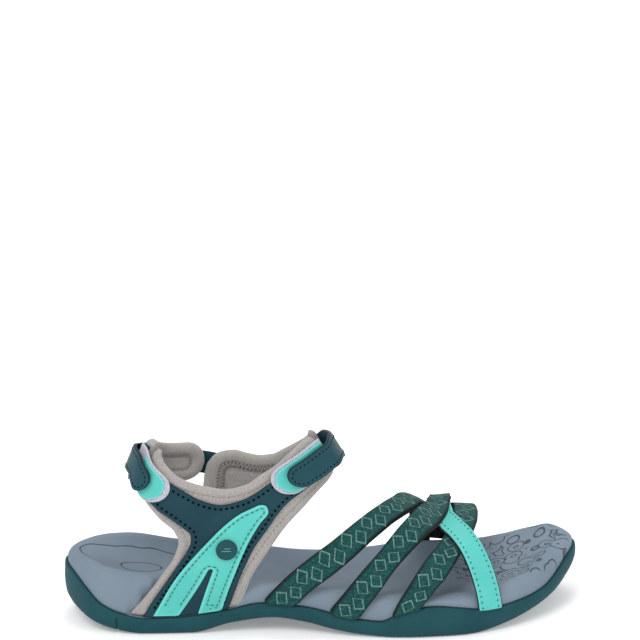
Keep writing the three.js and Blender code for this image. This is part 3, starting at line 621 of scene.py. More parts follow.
def rubber_look():
    look = Look("outsole_rubber_looks", Specular_IOR_Level=0.15)
    at = look.position()
    cloud = look.noise(at, 60.0, 3.0)
    grain = look.noise(at, 2600.0, 2.0)
    colour = look.blend(look.ramp(cloud, 0.35, 0.7), srgb(24, 68, 75), srgb(30, 76, 83))
    return look.finish(colour, look.ramp(grain, 0.3, 0.7, 0.55, 0.72), look.bump(cloud * 0.4 + grain, 0.08))


HEEL_ENGRAVING = (-0.088, 0.0, 0.042, 0.022)   # centre x and y, half length and half width, in metres
TOE_ENGRAVING = (0.092, 0.004, 0.031, 0.027)


def foam_look():
    """Moulded foam with fine grain and thin engraved contour lines under the heel and the toes."""
    look = Look("footbed_foam_looks", Specular_IOR_Level=0.25)
    at = look.position()
    x, y = look.split(at)
    wander = (look.noise(at, 70.0, 1.0) - 0.5) * 0.18

    def reach(centre_x, centre_y, half_x, half_y):
        """Distance from a centre, 1 on an ellipse round it."""
        away_x = (x - centre_x) / half_x
        away_y = (y - centre_y) / half_y
        return look.maths("SQRT", away_x * away_x + away_y * away_y)

    def contours(value, per_unit, half_line):
        """Lines halfway between the steps of a value."""
        return look.ramp(look.wave(value * per_unit), half_line, half_line * 2, 1.0, 0.0)

    heel = reach(*HEEL_ENGRAVING)
    heel_lines = contours(heel + wander, 2.0, 0.018) * look.ramp(heel, 0.98, 1.02, 0.85, 0.0)
    toe = reach(*TOE_ENGRAVING)
    loops = look.cells(look.scaled(at, (1.0, 1.0, 0.0)), 120.0)
    toe_lines = contours(loops + wander, 3.0, 0.07) * look.ramp(toe, 0.96, 1.0, 0.9, 0.0)
    lines = look.maths("MAXIMUM", heel_lines, toe_lines)
    grain = look.cells(at, 1500.0)
    cloud = look.noise(at, 35.0, 3.0)
    base = look.blend(look.ramp(cloud, 0.3, 0.7), srgb(112, 127, 141), srgb(122, 137, 150))
    colour = look.blend(lines * 0.9, base, srgb(44, 54, 68))
    return look.finish(colour, look.ramp(grain, 0.0, 0.8, 0.72, 0.6), look.bump(grain * 0.35 - lines, 0.16))


def plastic_look(name, colour, worn):
    look = Look(name, Specular_IOR_Level=0.2)
    at = look.position()
    grain = look.noise(at, 3000.0, 2.0)
    base = look.blend(look.ramp(look.noise(at, 90.0), 0.3, 0.75), colour, worn)
    return look.finish(base, look.ramp(grain, 0.3, 0.7, 0.38, 0.5), look.bump(grain, 0.03))


def knit_look(name, dark, middle, light, pitch=0.62, fuzz=0.25):
    """Heathered knit: rows of small loops, each thread a slightly different tone."""
    look = Look(name, Sheen_Weight=fuzz, Sheen_Roughness=0.5, Specular_IOR_Level=0.2)
    flat = look.flat()
    along, up = look.split(flat)
    stagger = look.maths("FLOOR", up / pitch) * 0.5
    loops = 1.0 - (look.wave(along / pitch + stagger) + look.wave(up / pitch))
    tone = look.noise(look.scaled(flat, (1.3, 2.6, 1.0)), 1.0, 3.0)
    speck = look.noise(look.position(), 2400.0, 1.0)
    colour = look.blend(look.ramp(tone, 0.34, 0.6), dark, middle)
    colour = look.blend(look.ramp(speck, 0.5, 0.75, 0.0, 0.6), colour, light)
    colour = look.blend(look.ramp(loops, 0.35, 0.1, 0.0, 0.45), colour, dark)
    return look.finish(colour, 0.9, look.bump(loops + speck * 0.5, 0.22))


def leather_look(name, base, light, rim, rim_width, roughness=0.5, gloss=0.15):
    """Smooth coated leather: fine pebble grain, and the rim colour painted along the edges as light and
    shade: painted shade on the dark teal pieces, a painted highlight on the turquoise ones.
    """
    look = Look(name, Specular_IOR_Level=gloss)
    at = look.position()
    pebble = look.cells(at, 1250.0)
    crease = look.noise(at, 480.0, 3.0)
    cloud = look.noise(at, 55.0, 2.0)
    colour = look.blend(look.ramp(cloud, 0.3, 0.72), base, light)
    # Rim mask, wavering with the creases: painted shade along the edges of the teal pieces, a painted
    # highlight along the edges of the turquoise ones.
    painted_rim_shade_and_highlight = look.edge() + (crease - 0.5) * 0.5
    colour = look.blend(look.ramp(painted_rim_shade_and_highlight, rim_width, rim_width * 0.82), colour, rim)
    shine = look.ramp(crease, 0.3, 0.7, roughness - 0.06, roughness + 0.08)
    return look.finish(colour, shine, look.bump(pebble * 0.8 + crease, 0.06))


def loop_look(name, dark, light, depth=0.35):
    """Brushed loop fabric: short tangled pile."""
    look = Look(name, Sheen_Weight=0.4, Sheen_Roughness=0.6)
    at = look.position()
    pile = look.noise(at, 1900.0, 4.0)
    tangle = look.cells(at, 1500.0)
    colour = look.blend(look.ramp(pile + tangle * 0.3, 0.45, 0.85), dark, light)
    return look.finish(colour, 0.95, look.bump(pile + tangle, depth))


def thread_look(name, dark, light, sheen=0.2):
    """Sewing thread: strands twisted round each other."""
    look = Look(name, Sheen_Weight=sheen, Specular_IOR_Level=sheen)
    twist = look.noise(look.scaled(look.position(), (1.0, 1.0, 1.7)), 3200.0, 1.0)
    return look.finish(look.blend(look.ramp(twist, 0.35, 0.65), dark, light), 0.6, look.bump(twist, 0.08))


MOTIF = {"pitch": 6.9, "swing": 1.4, "reach": 3.2, "line": 0.32, "dots": 0.95, "stitches": 1.35}


def motif_signal(look, u, v):
    """Open squares along the strap, in turn above and below its middle; one side is dotted."""
    cell = u / MOTIF["pitch"]
    p = (look.fraction(cell) - 0.5) * MOTIF["pitch"]
    odd = look.fraction(look.maths("FLOOR", cell) * 0.5) * 4.0 - 1.0
    q = v - odd * MOTIF["swing"]
    ring = abs(p) + abs(q) - MOTIF["reach"]
    line = look.ramp(abs(ring), MOTIF["line"], MOTIF["line"] + 0.18, 1.0, 0.0)
    open_side = look.maths("GREATER_THAN", p * odd, 0.0) * look.maths("LESS_THAN", q * odd, 0.0)
    dots = look.maths("GREATER_THAN", look.fraction((p - q) * MOTIF["dots"]), 0.55)
    stitches = look.ramp(look.fraction((abs(p) + v) * MOTIF["stitches"]), 0.3, 0.4, 0.35, 1.0)
    return line * look.maths("MAXIMUM", (1.0 - open_side) * stitches, dots * 0.7)


def webbing_look():
    """Jacquard webbing: ribbed weave with the motif in paler thread."""
    look = Look("webbing_looks", Sheen_Weight=0.05, Specular_IOR_Level=0.15)
    u, v = look.split(look.flat())
    motif = motif_signal(look, u, v)
    weave = look.wave((u + v * 0.5) * 1.55) + look.wave(v * 1.25) * 0.8
    speck = look.noise(look.position(), 1000.0, 3.0)
    base = look.blend(look.ramp(weave, 0.2, 0.75), srgb(8, 44, 46), srgb(26, 76, 74))
    base = look.blend(look.ramp(speck, 0.42, 0.7, 0.0, 0.75), base, srgb(42, 100, 96))
    base = look.blend(look.ramp(look.edge(), 0.5, 1.1, 0.6, 0.0), base, srgb(6, 34, 38))
    thread = look.blend(look.ramp(speck, 0.35, 0.65), srgb(88, 134, 128), srgb(130, 170, 162))
    colour = look.blend(motif * look.ramp(weave, 0.05, 0.4, 0.55, 1.0), base, thread)
    return look.finish(colour, 0.82, look.bump(weave + motif * 0.6, 0.22))


# The third teal colour is painted shade along the edges of the teal covers and straps.
TEAL, TEAL_LIGHT, TEAL_RIM_SHADE = srgb(20, 55, 66), srgb(27, 64, 75), srgb(17, 46, 55)
TURQUOISES = srgb(80, 186, 177), srgb(90, 194, 185), srgb(106, 206, 197)     # base, lighter patches and a painted highlight along the rim
LOOKS = {
    "rubber": rubber_look(),
    "foam": foam_look(),
    "shank": plastic_look("shank_plastic_looks", srgb(52, 57, 62), srgb(66, 71, 76)),
    "badge": plastic_look("badge_plastic_looks", srgb(20, 66, 71), srgb(26, 74, 79)),
    "mark": plastic_look("badge_mark_looks", srgb(104, 160, 160), srgb(124, 178, 176)),
    "lining": knit_look("lining_looks", srgb(144, 139, 135), srgb(172, 167, 163), srgb(202, 198, 195)),
    "teal": leather_look("teal_pu_looks", TEAL, TEAL_LIGHT, TEAL_RIM_SHADE, 0.35),
    "strap": leather_look("strap_pu_looks", srgb(25, 64, 74), srgb(32, 73, 83), TEAL_RIM_SHADE, 0.35),
    "turquoise": leather_look("turquoise_pu_looks", *TURQUOISES, 0.9, 0.46, 0.25),
    "turquoise_strap": leather_look("turquoise_strap_looks", *TURQUOISES, 0.5, 0.5, 0.25),
    "loop": loop_look("loop_fabric_looks", srgb(158, 162, 180), srgb(203, 206, 218)),
    "hook": loop_look("hook_fabric_looks", srgb(24, 26, 30), srgb(58, 62, 68), 0.5),
    "webbing": webbing_look(),
    "black": knit_look("black_lining_looks", srgb(14, 15, 18), srgb(24, 25, 29), srgb(44, 45, 50), 0.5, 0.1),
    "dark_thread": thread_look("dark_thread_looks", srgb(2, 8, 12), srgb(10, 22, 28), 0.0),
    "teal_thread": thread_look("teal_thread_looks", srgb(18, 86, 88), srgb(36, 116, 116)),
    "grey_thread": thread_look("grey_thread_looks", srgb(122, 116, 112), srgb(160, 154, 149)),
    "pale_thread": thread_look("pale_thread_looks", srgb(176, 178, 190), srgb(214, 216, 226)),
}


def settle(made, body, replaced=()):
    """Puts a finished piece on its body and hides the CAD parts that it replaces."""
    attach(made, body)
    if replaced:
        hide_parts(*replaced)
    return made


# ------------------------------------------------------------------ sole
HALF_STATIONS = 300
HEEL_SLOT = {"x": 28.0, "width": 1.3, "depth": 0.9}
TREAD_GROOVES = [
    (28, 40, 3), (74, 24, 1.6), (90, 22, 1.6), (106, 22, 1.6), (122, 24, 1.6), (166, 34, 1.8),
    (184, 34, 1.8), (208, 30, 1.8), (222, 24, 1.8),
]
GROOVE_WIDTH = 2.4
CHEVRON = {"lean": 0.6, "turn_per_mm": 1.1, "depth": 0.5, "land": 0.2}
# How far the foam side stands in, and the pocket that takes the quarters between two lengths.
FOAM_SIDE = {"inset": 1.8, "pocket": 2.7, "starts": (31, 36), "ends": (80, 86)}
FOOTBED_CREST_INSET = 7.0
FOOTBED_DISH_INSET = 10.0
DISH_START = (10.0, 38.0)       # lengths between which the dish goes from nothing to its full depth


def station_turns():
    """Turns from heel to toe, with extra ones where grooves cross the sole."""
    turns = list(np.linspace(0, math.pi, HALF_STATIONS + 1))
    for x, _, _ in TREAD_GROOVES:
        for side in (-1, 1):
            turns += [float(sole_turn(x + side * (GROOVE_WIDTH / 2 + step))) for step in (-0.25, 0.25)]
    for step in (-0.65, -0.35, 0.0, 0.35, 0.65):
        turns.append(float(sole_turn(HEEL_SLOT["x"] + step * HEEL_SLOT["width"])))
    return np.array(sorted(turns))


TURNS = station_turns()
RING_TURNS = np.concatenate([TURNS, 2 * math.pi - TURNS[-2:0:-1]])
RING_LATERAL = RING_TURNS <= math.pi


def plan_point(turn):
    wrapped = np.mod(turn, 2 * math.pi)
    folded = np.where(wrapped <= math.pi, wrapped, 2 * math.pi - wrapped)
    y = np.where(wrapped <= math.pi, lateral_by_turn(folded), medial_by_turn(folded))
    return np.stack([mix(SOLE_START, SOLE_END, (1 - np.cos(folded)) / 2), y], -1)


def sole_ring(inset_by, height):
    """Ring round the sole, moved in by inset_by(x) and lifted to height(x, lateral)."""
    plan = plan_point(RING_TURNS)
    nudge = 0.012
    along = plan_point(RING_TURNS + nudge) - plan_point(RING_TURNS - nudge)
    along /= np.linalg.norm(along, axis=1, keepdims=True)
    x = plan[:, 0]
    moved = plan + np.column_stack([-along[:, 1], along[:, 0]]) * np.asarray(inset_by(x))[..., None]
    return np.column_stack([moved, height(x, RING_LATERAL)])


def cap_grid(ring, columns, lower):
    """Inner points and faces that close a ring from side to side; lower(x, y, across) sinks them."""
    count = len(ring)
    half = count // 2
    points = []
    index = [[0] * (columns + 1)]
    for j in range(1, half):
        left, right = ring[j], ring[count - j]
        row = [j]
        for k in range(1, columns):
            point = mix(left, right, k / columns)
            point = point - np.array([0, 0, lower(point[0], point[1], k / columns)])
            row.append(count + len(points))
            points.append(point)
        index.append(row + [count - j])
    index.append([half] * (columns + 1))
    faces = []
    for upper, below in zip(index, index[1:]):
        for k in range(columns):
            face = []
            for corner in (upper[k], below[k], below[k + 1], upper[k + 1]):
                if corner not in face:
                    face.append(corner)
            if len(face) > 2:
                faces.append(tuple(face))
    return np.array(points), faces


def ring_solid(name, rings, look, columns, lower_top, lower_bottom):
    """Closed solid through rings from the bottom up, with a sunken cap at both ends."""
    count = len(rings[0])
    points = list(np.vstack(rings))
    faces = grid_faces(len(rings), count)
    for ring_index, lower, flip in ((0, lower_bottom, True), (len(rings) - 1, lower_top, False)):
        inner, cap = cap_grid(rings[ring_index], columns, lower)
        start = ring_index * count
        base = len(points)

        def number(corner):
            return start + corner if corner < count else base + corner - count

        for face in cap:
            mapped = tuple(number(corner) for corner in face)
            faces.append(mapped[::-1] if flip else mapped)
        points += list(inner)
    made = make_object(name, np.array(points), faces, look)
    face_outward(made)
    return made


def tread_sink(x, y, _across):
    """Minus how far the tread lies above the ground line: flex grooves and a fine chevron pattern."""
    depth = 0.0
    for groove_x, half_length, groove_depth in TREAD_GROOVES:
        if abs(x - groove_x) < GROOVE_WIDTH / 2 and abs(y + 1) < half_length:
            depth = groove_depth
    chevron = math.sin((x + CHEVRON["lean"] * abs(y)) * CHEVRON["turn_per_mm"])
    return -max(depth, CHEVRON["depth"] * max(0.0, chevron - CHEVRON["land"]))


def heel_slot(x):
    """Depth of the slot that the rear flex groove leaves in the side wall."""
    return HEEL_SLOT["depth"] * np.clip(1.6 - np.abs(x - HEEL_SLOT["x"]) * 3.2 / HEEL_SLOT["width"], 0, 1)


def make_outsole():
    def wall(inset_by, height, slotted=0.0):
        return sole_ring(lambda x: inset_by + slotted * heel_slot(x), lambda x, _side: height(x))

    def share(t):
        return lambda x: mix(ground_line(x) + 2, outsole_top(x), t)

    def above_ground(lift):
        return lambda x: ground_line(x) + lift

    def below_top(drop):
        return lambda x: outsole_top(x) - drop

    rings = [
        wall(3.5, above_ground(0), 1), wall(2.2, above_ground(0.25), 1), wall(1.3, above_ground(0.8), 1),
        wall(0.6, above_ground(1.6), 1), wall(0.15, share(0.2), 1), wall(0, share(0.4), 1),
        wall(0, share(0.62), 1), wall(0.1, share(0.68)), wall(0.2, share(0.85)), wall(0.3, below_top(0.45)),
        wall(0.45, below_top(0.15)), wall(0.75, below_top(0)), wall(1.9, below_top(0)),
        wall(2.2, below_top(0.2)), wall(2.3, below_top(1.2)), wall(3.0, above_ground(3.5)),
    ]
    made = ring_solid("outsole_shell", rings, LOOKS["rubber"], 40, level, tread_sink)
    return settle(made, "sandal", ["outsole"])


def footbed_wall(x, lean=0.0):
    """How far the foam side stands in, deeper where the ankle quarters, which lean, tuck in."""
    start, full = FOAM_SIDE["starts"]
    pocket = ease(x, start + lean, full + lean) * (1 - ease(x, *FOAM_SIDE["ends"]))
    return FOAM_SIDE["inset"] + FOAM_SIDE["pocket"] * pocket


def level(_x, _y, _across):
    """Sinks nothing: a flat cap."""
    return 0.0


def rim_height(x, lateral):
    return np.where(lateral, lateral_rim(x), medial_rim(x))


def footbed_profile():
    """Control rings from the seam with the outsole up and over the crest into the dish."""
    def height(share):
        return lambda x, side: mix(outsole_top(x) + 0.35, rim_height(x, side), share)

    return [
        sole_ring(footbed_wall, height(0.0)),
        sole_ring(lambda x: footbed_wall(x, 6.0) + 0.1, height(0.48)),
        sole_ring(lambda x: np.maximum(footbed_wall(x, 12.0) + 0.6, 3.6), height(0.84)),
        sole_ring(lambda x: FOOTBED_CREST_INSET + 0 * x, rim_height),
        sole_ring(lambda x: FOOTBED_DISH_INSET + 0 * x, lambda x, side: rim_height(x, side) - 0.7),
    ]


def curved_between(rings, steps):
    """More rings on a smooth curve through the given ones."""
    made = []
    last = len(rings) - 1
    for i in range(last):
        before, after = rings[max(i - 1, 0)], rings[min(i + 2, last)]
        start, end = rings[i], rings[i + 1]
        for k in range(steps):
            t = k / steps
            bend_in = 2 * before - 5 * start + 4 * end - after
            bend_out = 3 * start - before - 3 * end + after
            made.append(0.5 * (2 * start + (end - before) * t + bend_in * t ** 2 + bend_out * t ** 3))
    return made + [rings[-1]]


def make_footbed():
    lower = [
        sole_ring(lambda x: 3.3 + 0 * x, lambda x, _side: ground_line(x) + 3.8),
        sole_ring(lambda x: 2.6 + 0 * x, lambda x, _side: outsole_top(x) - 0.1),
    ]
    rings = lower + curved_between(footbed_profile(), 6)

    def dish(x, _y, across):
        return dish_depth(x) * ease(x, *DISH_START) * (1 - abs(2 * across - 1) ** 3)

    made = ring_solid("footbed_cushion", rings, LOOKS["foam"], 44, dish, level)
    settle(made, "sandal", ["footbed"])
    return made


# ------------------------------------------------------------------ ankle quarters
LATERAL_LINING = {
    "rear": [
        (9, 37.2), (23, 42.5), (32, 45.5), (40, 48), (47, 48.7), (53.5, 45.9), (58, 40.5), (63.5, 34.4),
        (69, 28), (74.5, 21),
    ],
    "front": [
        (12.5, 70.8), (21, 72.7), (30.5, 75.3), (38, 78.8), (46, 83.4), (55, 89.6), (64, 98.7),
        (70.5, 106.4), (75, 113.6), (81, 123.6),
    ],
    "collar": [
        (22.8, 93.5), (33.4, 85.5), (45.9, 78.5), (57.4, 75.5), (66, 74.3), (75.6, 76.5), (81.9, 80.5),
        (90.3, 85), (100.4, 91), (108.6, 95), (118, 98),
    ],
}
LATERAL_COVER = {
    "rear": [
        (9, 42.3), (18, 44.5), (28, 47.7), (36, 50.2), (44, 52.8), (49, 53.8), (52.5, 53.3), (56, 49.9),
        (60, 45), (63.5, 39.7), (68.5, 33.5), (74, 27),
    ],
    "front": [
        (11.5, 67), (17.5, 68.3), (27, 70.2), (37.8, 73.3), (46, 76.5), (54.3, 81.5), (63.5, 87.7),
        (68.5, 92.7), (73.5, 100.5), (78, 108), (84, 117.5),
    ],
    "collar": [
        (27.5, 85.5), (35.5, 80.5), (42.5, 77), (49, 73.5), (55.3, 70), (63.8, 67.5), (72.3, 69.5),
        (77.9, 72.5), (84.3, 77), (96, 84), (104, 89), (115, 93.5),
    ],
}
MEDIAL_LINING = {
    "rear": [(9, 50), (20, 52), (30, 54.5), (40, 57), (46.5, 58.5), (53, 59.3), (60, 59.5)],
    "front": [
        (12.5, 71), (21, 72.5), (30.5, 75), (38, 79), (46.5, 86), (52, 94), (58, 103), (64, 112), (68, 119),
    ],
    "collar": [
        (60.2, 64.5), (63.2, 69), (67.3, 71), (72.3, 71.5), (78, 69.8), (84, 68.5), (89.2, 69), (96, 72.3),
        (104, 76.5), (112, 81), (119, 85.5),
    ],
}
MEDIAL_COVER = {
    "rear": [(9, 55), (20, 57), (30, 59.5), (40, 62), (46.5, 63.5), (56, 64.2)],
    "front": [
        (12, 65.5), (21, 67), (30.5, 69.5), (38, 73.3), (46.5, 80), (54, 90), (60, 99), (66, 107.5),
        (71, 114.5),
    ],
    "collar": [
        (64.8, 61.5), (68, 64.7), (72.5, 65.3), (78, 63.7), (84, 62.3), (90, 63.5), (97, 67.3), (104, 71),
        (110, 75.5), (114.8, 79),
    ],
}
quarter_bottom = smooth_line([
    (37, 10.3), (42, 9.1), (48, 8.9), (53, 9.3), (58, 10.2), (65, 11.9), (71, 14.1),
])
FORK_LEFT = smooth_line([(9, 45.3), (31, 51), (50.5, 60.8), (62.5, 70.8), (67.5, 79.5)])
FORK_RIGHT = smooth_line([(10, 65), (28, 68.3), (47, 73.7), (58, 79), (64, 82.9), (67.5, 82.5)])
FORK_NOTCH_LEFT = smooth_line([(9, 52.8), (24, 57.6), (35.2, 60.9)])
FORK_NOTCH_RIGHT = smooth_line([(9, 58.3), (24, 60.5), (35.2, 62.4)])
FORK_FOOT, FORK_NOTCH, FORK_TIP = 9.5, 35.2, 67.5
SOLE_SEAM = 20.0
BADGE = {"u": 66.7, "z": 45.5, "radius": 5.2, "squeeze": 0.7}


def run(knots, count=60):
    """Points of a smooth line whose knots are (position, value)."""
    at = np.linspace(knots[0][0], knots[-1][0], count)
    return np.column_stack([at, smooth_line(knots)(at)])


def quarter_outline(shape, corner, medial):
    """Closed outline of a Y-shaped quarter: up its rear edge, over the collar and down its front edge."""
    rear = run(shape["rear"])[:, ::-1]
    front = run(shape["front"])[::-1, ::-1]
    collar = run(shape["collar"], 80)
    bottom_u = np.linspace(front[-1, 0], rear[0, 0], 30)
    bottom = np.column_stack([bottom_u, quarter_bottom(bottom_u)])
    loop = np.vstack([rear, collar, front, bottom[1:-1]])
    if medial:
        loop = loop * np.array([-1, 1])
    return round_corners(loop, corner, above=SOLE_SEAM)


def off_the_sole(line, lowest):
    """The part of a closed line above a height."""
    return open_part(line, line[:, 1] > lowest)


def off_the_join(line, at, clearance=2.0):
    """The part of a closed line that keeps clear of a square end at u = at."""
    return open_part(line, np.abs(line[:, 0] - at) > clearance)


# Heights over the form of the padding's two faces, which meet at "middle" along the rim, and distances
# from the rim. Inside the sewn channel the inner face is softly quilted.
PAD = {"middle": 2.1, "outer": 4.6, "inner": -0.7, "outer_roll": 2.6, "inner_roll": 3.2,
       "stitch_at": 3.5, "stitch_press": 0.55, "stitch_width": 0.55,
       "channel_at": 7.0, "channel_rise": (4.4, 6.2), "channel_face": 0.9,
       "quilt": 0.25, "quilt_starts": (9, 13), "sink": 0.6, "sink_starts": (8, 13), "fill": 0.6}


def pad_outer(edge, _a, _b):
    """Outer face of a padded quarter: rolled rim, pressed in along the stitch line."""
    roll = mix(PAD["middle"], PAD["outer"], rounded(edge, PAD["outer_roll"]))
    return roll - PAD["stitch_press"] * np.exp(-((edge - PAD["stitch_at"]) / PAD["stitch_width"]) ** 2)


def pad_inner(edge, a, b):
    """Inner face: fuller roll, pressed in along a wide sewn channel, softly quilted inside it."""
    roll = mix(PAD["middle"], PAD["inner"], rounded(edge, PAD["inner_roll"]))
    wave = PAD["quilt"] * np.sin(a * 0.42 + b * 0.21) * np.sin(b * 0.33 - a * 0.12)
    quilted = PAD["channel_face"] + wave * ease(edge, *PAD["quilt_starts"])
    quilted = quilted - PAD["sink"] * ease(edge, *PAD["sink_starts"])
    return mix(roll, quilted, ease(edge, *PAD["channel_rise"]))


PAD_RIMS = (0.12, 0.4, 0.9, 1.6, 2.4, 3.0, 3.5, 4.0, 4.8, 5.6, 6.4, 7.4, 8.6)


def make_pad(name, outline, node):
    made = make_panel(name, outline, leg_point, pad_inner, pad_outer, LOOKS["lining"], PAD_RIMS, 2.6)
    settle(made, "sandal", [node])


# Height over the ankle form of each layer's underside, and its thickness.
LAYERS = {"cover": (4.8, 1.1), "fork": (6.1, 0.9), "edging": (6.1, 0.9), "face": (7.1, 0.7),
          "badge": (7.3, 0.8), "hooks": (8.3, 0.7)}
STITCH_HEIGHTS = {"cover": 5.95, "lining": 4.25, "fork": 6.9, "edging": 7.05}


def leg_sheet(name, outline, layer, look, **shape):
    bottom, thickness = LAYERS[layer]
    return flat_sheet(name, outline, leg_point, lambda a, b: bottom + 0 * a, thickness, LOOKS[look], **shape)


def sew(name, line, layer, thread, **shape):
    """Stitch row on a layer of the ankle."""
    row = stitch_row(name, line, leg_point, STITCH_HEIGHTS[layer], LOOKS[thread], **shape)
    settle(row, "sandal")


def sew_channel(name, line, height, **shape):
    """Zigzag in the channel on the inside of the padding."""
    settle(zigzag(name, line, leg_point, height, LOOKS["grey_thread"], **shape), "sandal")


def make_quarter(side, lining_shape, cover_shape, medial):
    lining = quarter_outline(lining_shape, 4.0, medial)
    cover = quarter_outline(cover_shape, 4.0, medial)
    make_pad(f"{side}_lining_pad", lining, f"{side}_quarter_lining")
    panel = leg_sheet(f"{side}_cover_panel", cover, "cover", "teal")
    settle(panel, "sandal", [f"{side}_quarter_cover"])
    seam = off_the_sole(seam_line(cover, 2.0), 13)
    sew(f"{side}_cover_stitches", seam, "cover", "dark_thread", length=1.4, radius=0.5)
    hem = off_the_sole(seam_line(lining, PAD["stitch_at"]), 13)
    sew(f"{side}_lining_stitches", hem, "lining", "grey_thread", length=1.1, pitch=2.4, radius=0.24)
    channel = off_the_sole(seam_line(lining, PAD["channel_at"] - 0.6), 34)
    sew_channel(f"{side}_lining_channel", channel, 0.0, half_width=1.6, pitch=1.7, radius=0.5)


def fork_outline():
    """Two prongs under a long head that leans forward; the notch between them ends in a round arch."""
    up = np.linspace(FORK_FOOT, FORK_TIP, 70)
    down = up[::-1]
    notch = np.linspace(FORK_FOOT, FORK_NOTCH, 40)
    half = (FORK_NOTCH_RIGHT(FORK_NOTCH) - FORK_NOTCH_LEFT(FORK_NOTCH)) / 2
    turn = np.linspace(0, math.pi, 12)[1:-1]
    arch = np.column_stack([FORK_NOTCH_LEFT(FORK_NOTCH) + half * (1 + np.cos(turn)),
                            FORK_NOTCH + 1.4 * half * np.sin(turn)])
    loop = np.vstack([
        np.column_stack([FORK_LEFT(up), up]),
        np.column_stack([FORK_RIGHT(down), down]),
        np.column_stack([FORK_NOTCH_RIGHT(notch), notch]),
        arch,
        np.column_stack([FORK_NOTCH_LEFT(notch[::-1]), notch[::-1]]),
    ])
    low = loop[:, 1] < quarter_bottom(loop[:, 0])
    loop[low, 1] = quarter_bottom(loop[low, 0])
    return round_corners(loop, 1.6, above=SOLE_SEAM)


FORK_SEAM_INSET = 1.7


def raised_rim(edge):
    """A welted rim, pressed down along its stitch line."""
    welt = 0.3 * ease(edge, 0.2, 0.6) * (1 - ease(edge, 0.9, 1.4))
    return welt - 0.2 * np.exp(-((edge - FORK_SEAM_INSET) / 0.35) ** 2)


def make_fork():
    outline = fork_outline()
    made = leg_sheet("lateral_fork_panel", outline, "fork", "turquoise", profile=raised_rim)
    settle(made, "sandal", ["lateral_fork_overlay"])
    seam = off_the_sole(seam_line(outline, FORK_SEAM_INSET), 14.5)
    sew("lateral_fork_stitches", seam, "fork", "teal_thread", length=2.0, pitch=2.6, radius=0.26)


CIRCLE_POINTS = 48


def circle(u, z, radius, squeeze):
    """Circle that comes out round on the leaning ankle form, where distances along u are stretched."""
    turn = 2 * math.pi * np.arange(CIRCLE_POINTS) / CIRCLE_POINTS
    return np.column_stack([u + squeeze * radius * np.cos(turn), z + radius * np.sin(turn)])


BARS = ((-0.55, 4.6), (0.75, 3.0))      # height over the middle of the badge, and length
BAR_HALF_HEIGHT = 0.2
BAR_LEAN = 0.3


def bar_outline(shift, long):
    half, low, high = long / 2, -BAR_HALF_HEIGHT, BAR_HALF_HEIGHT
    bar = np.array([(-half, low), (half, low), (half + BAR_LEAN, high), (-half + BAR_LEAN, high)])
    return round_corners(bar + np.array([BADGE["u"], BADGE["z"] + shift]), 0.18, 0.06)


def make_badge():
    """Round badge with a raised rim and a plain mark of two leaning bars."""
    def rim(edge):
        return 0.25 * ease(edge, 0.1, 0.4) * (1 - ease(edge, 0.6, 0.9))

    def bar_bottom(edge, _a, _b):
        return 7.9 + 0 * edge

    def bar_top(edge, _a, _b):
        return 8.05 + 0.2 * rounded(edge, 0.2)

    disc = leg_sheet("lateral_badge_disc", circle(**BADGE), "badge", "badge",
                     radius=0.4, spacing=1.0, profile=rim)
    settle(disc, "sandal", ["lateral_badge"])
    for k, bar in enumerate(BARS):
        made = make_panel(f"lateral_badge_mark_{k + 1}", bar_outline(*bar), leg_point, bar_bottom, bar_top,
                          LOOKS["mark"], (0.1, 0.2), 0.6)
        settle(made, "sandal")


# ------------------------------------------------------------------ ankle straps
heel_line = smooth_line([
    (-84, 57.5), (-70, 61), (-60, 64), (-45, 67), (-28, 71), (-14, 76), (0, 81), (8, 84), (16, 84.5),
    (25, 81), (33, 76.3), (42, 70.5),
])
heel_pad_line = smooth_line([
    (-60, 66), (-45, 66.5), (-28, 69), (-14, 73), (0, 78), (10, 82.3), (20.5, 84),
])
instep_line = smooth_line([
    (84, 73.5), (93, 79), (104, 84.5), (115, 89), (126, 90.6), (138, 87.5), (150, 83.5), (163, 79),
    (171, 76), (179, 72.3), (190, 67),
])
STRAP_HALF_WIDTH = 5.7
STRAP_THICKNESS = 1.5
STRAP_OFFSET_TAB = 9.2
STRAP_OFFSET_LOW = 6.3
BEND_SPAN = (-1.0, 9.0)                      # reaches from just before a hinge to past it
ANKLE_STRAPS = [
    {"name": "heel_strap", "line": heel_line, "ramp": (-16, 12), "base_end": -82, "hinge": -68, "join": -36,
     "peel": -4, "free_end": 33, "bodies": ("sandal", "heel_strap", "heel_tab"), "hook": (13, 30),
     "landing": (9, 41), "landing_half": 7.1, "patch": (20.5, 38.8), "patch_half": 6.2},
    {"name": "instep_strap", "line": instep_line, "ramp": (160, 122), "base_end": 190, "hinge": 174.5,
     "join": 155, "peel": 134, "free_end": 93, "bodies": ("sandal", "instep_strap", "instep_tab"),
     "hook": (96, 112), "landing": (119, 87), "landing_half": 7.4, "patch": (118, 88.7), "patch_half": 6.3},
]


def clear_of_repeats(loop):
    step = np.linalg.norm(loop - np.roll(loop, 1, axis=0), axis=1)
    return loop[step > 1e-4]


def band_outline(line, start, end, half_width, round_end=0.0):
    """Outline of a band along a line; its far end is square, or rounded off over a length."""
    along = np.linspace(start, end, 120)
    slope = line(along + 0.5) - line(along - 0.5)
    half = half_width * np.hypot(1, slope)
    if round_end:
        half = half * rounded(np.abs(along - end), round_end)
    lean = -slope / np.hypot(1, slope) ** 2
    upper = np.column_stack([along + lean * half, line(along) + half / np.hypot(1, slope) ** 2])
    lower = np.column_stack([along - lean * half, line(along) - half / np.hypot(1, slope) ** 2])
    return clear_of_repeats(np.vstack([upper, lower[::-1]]))


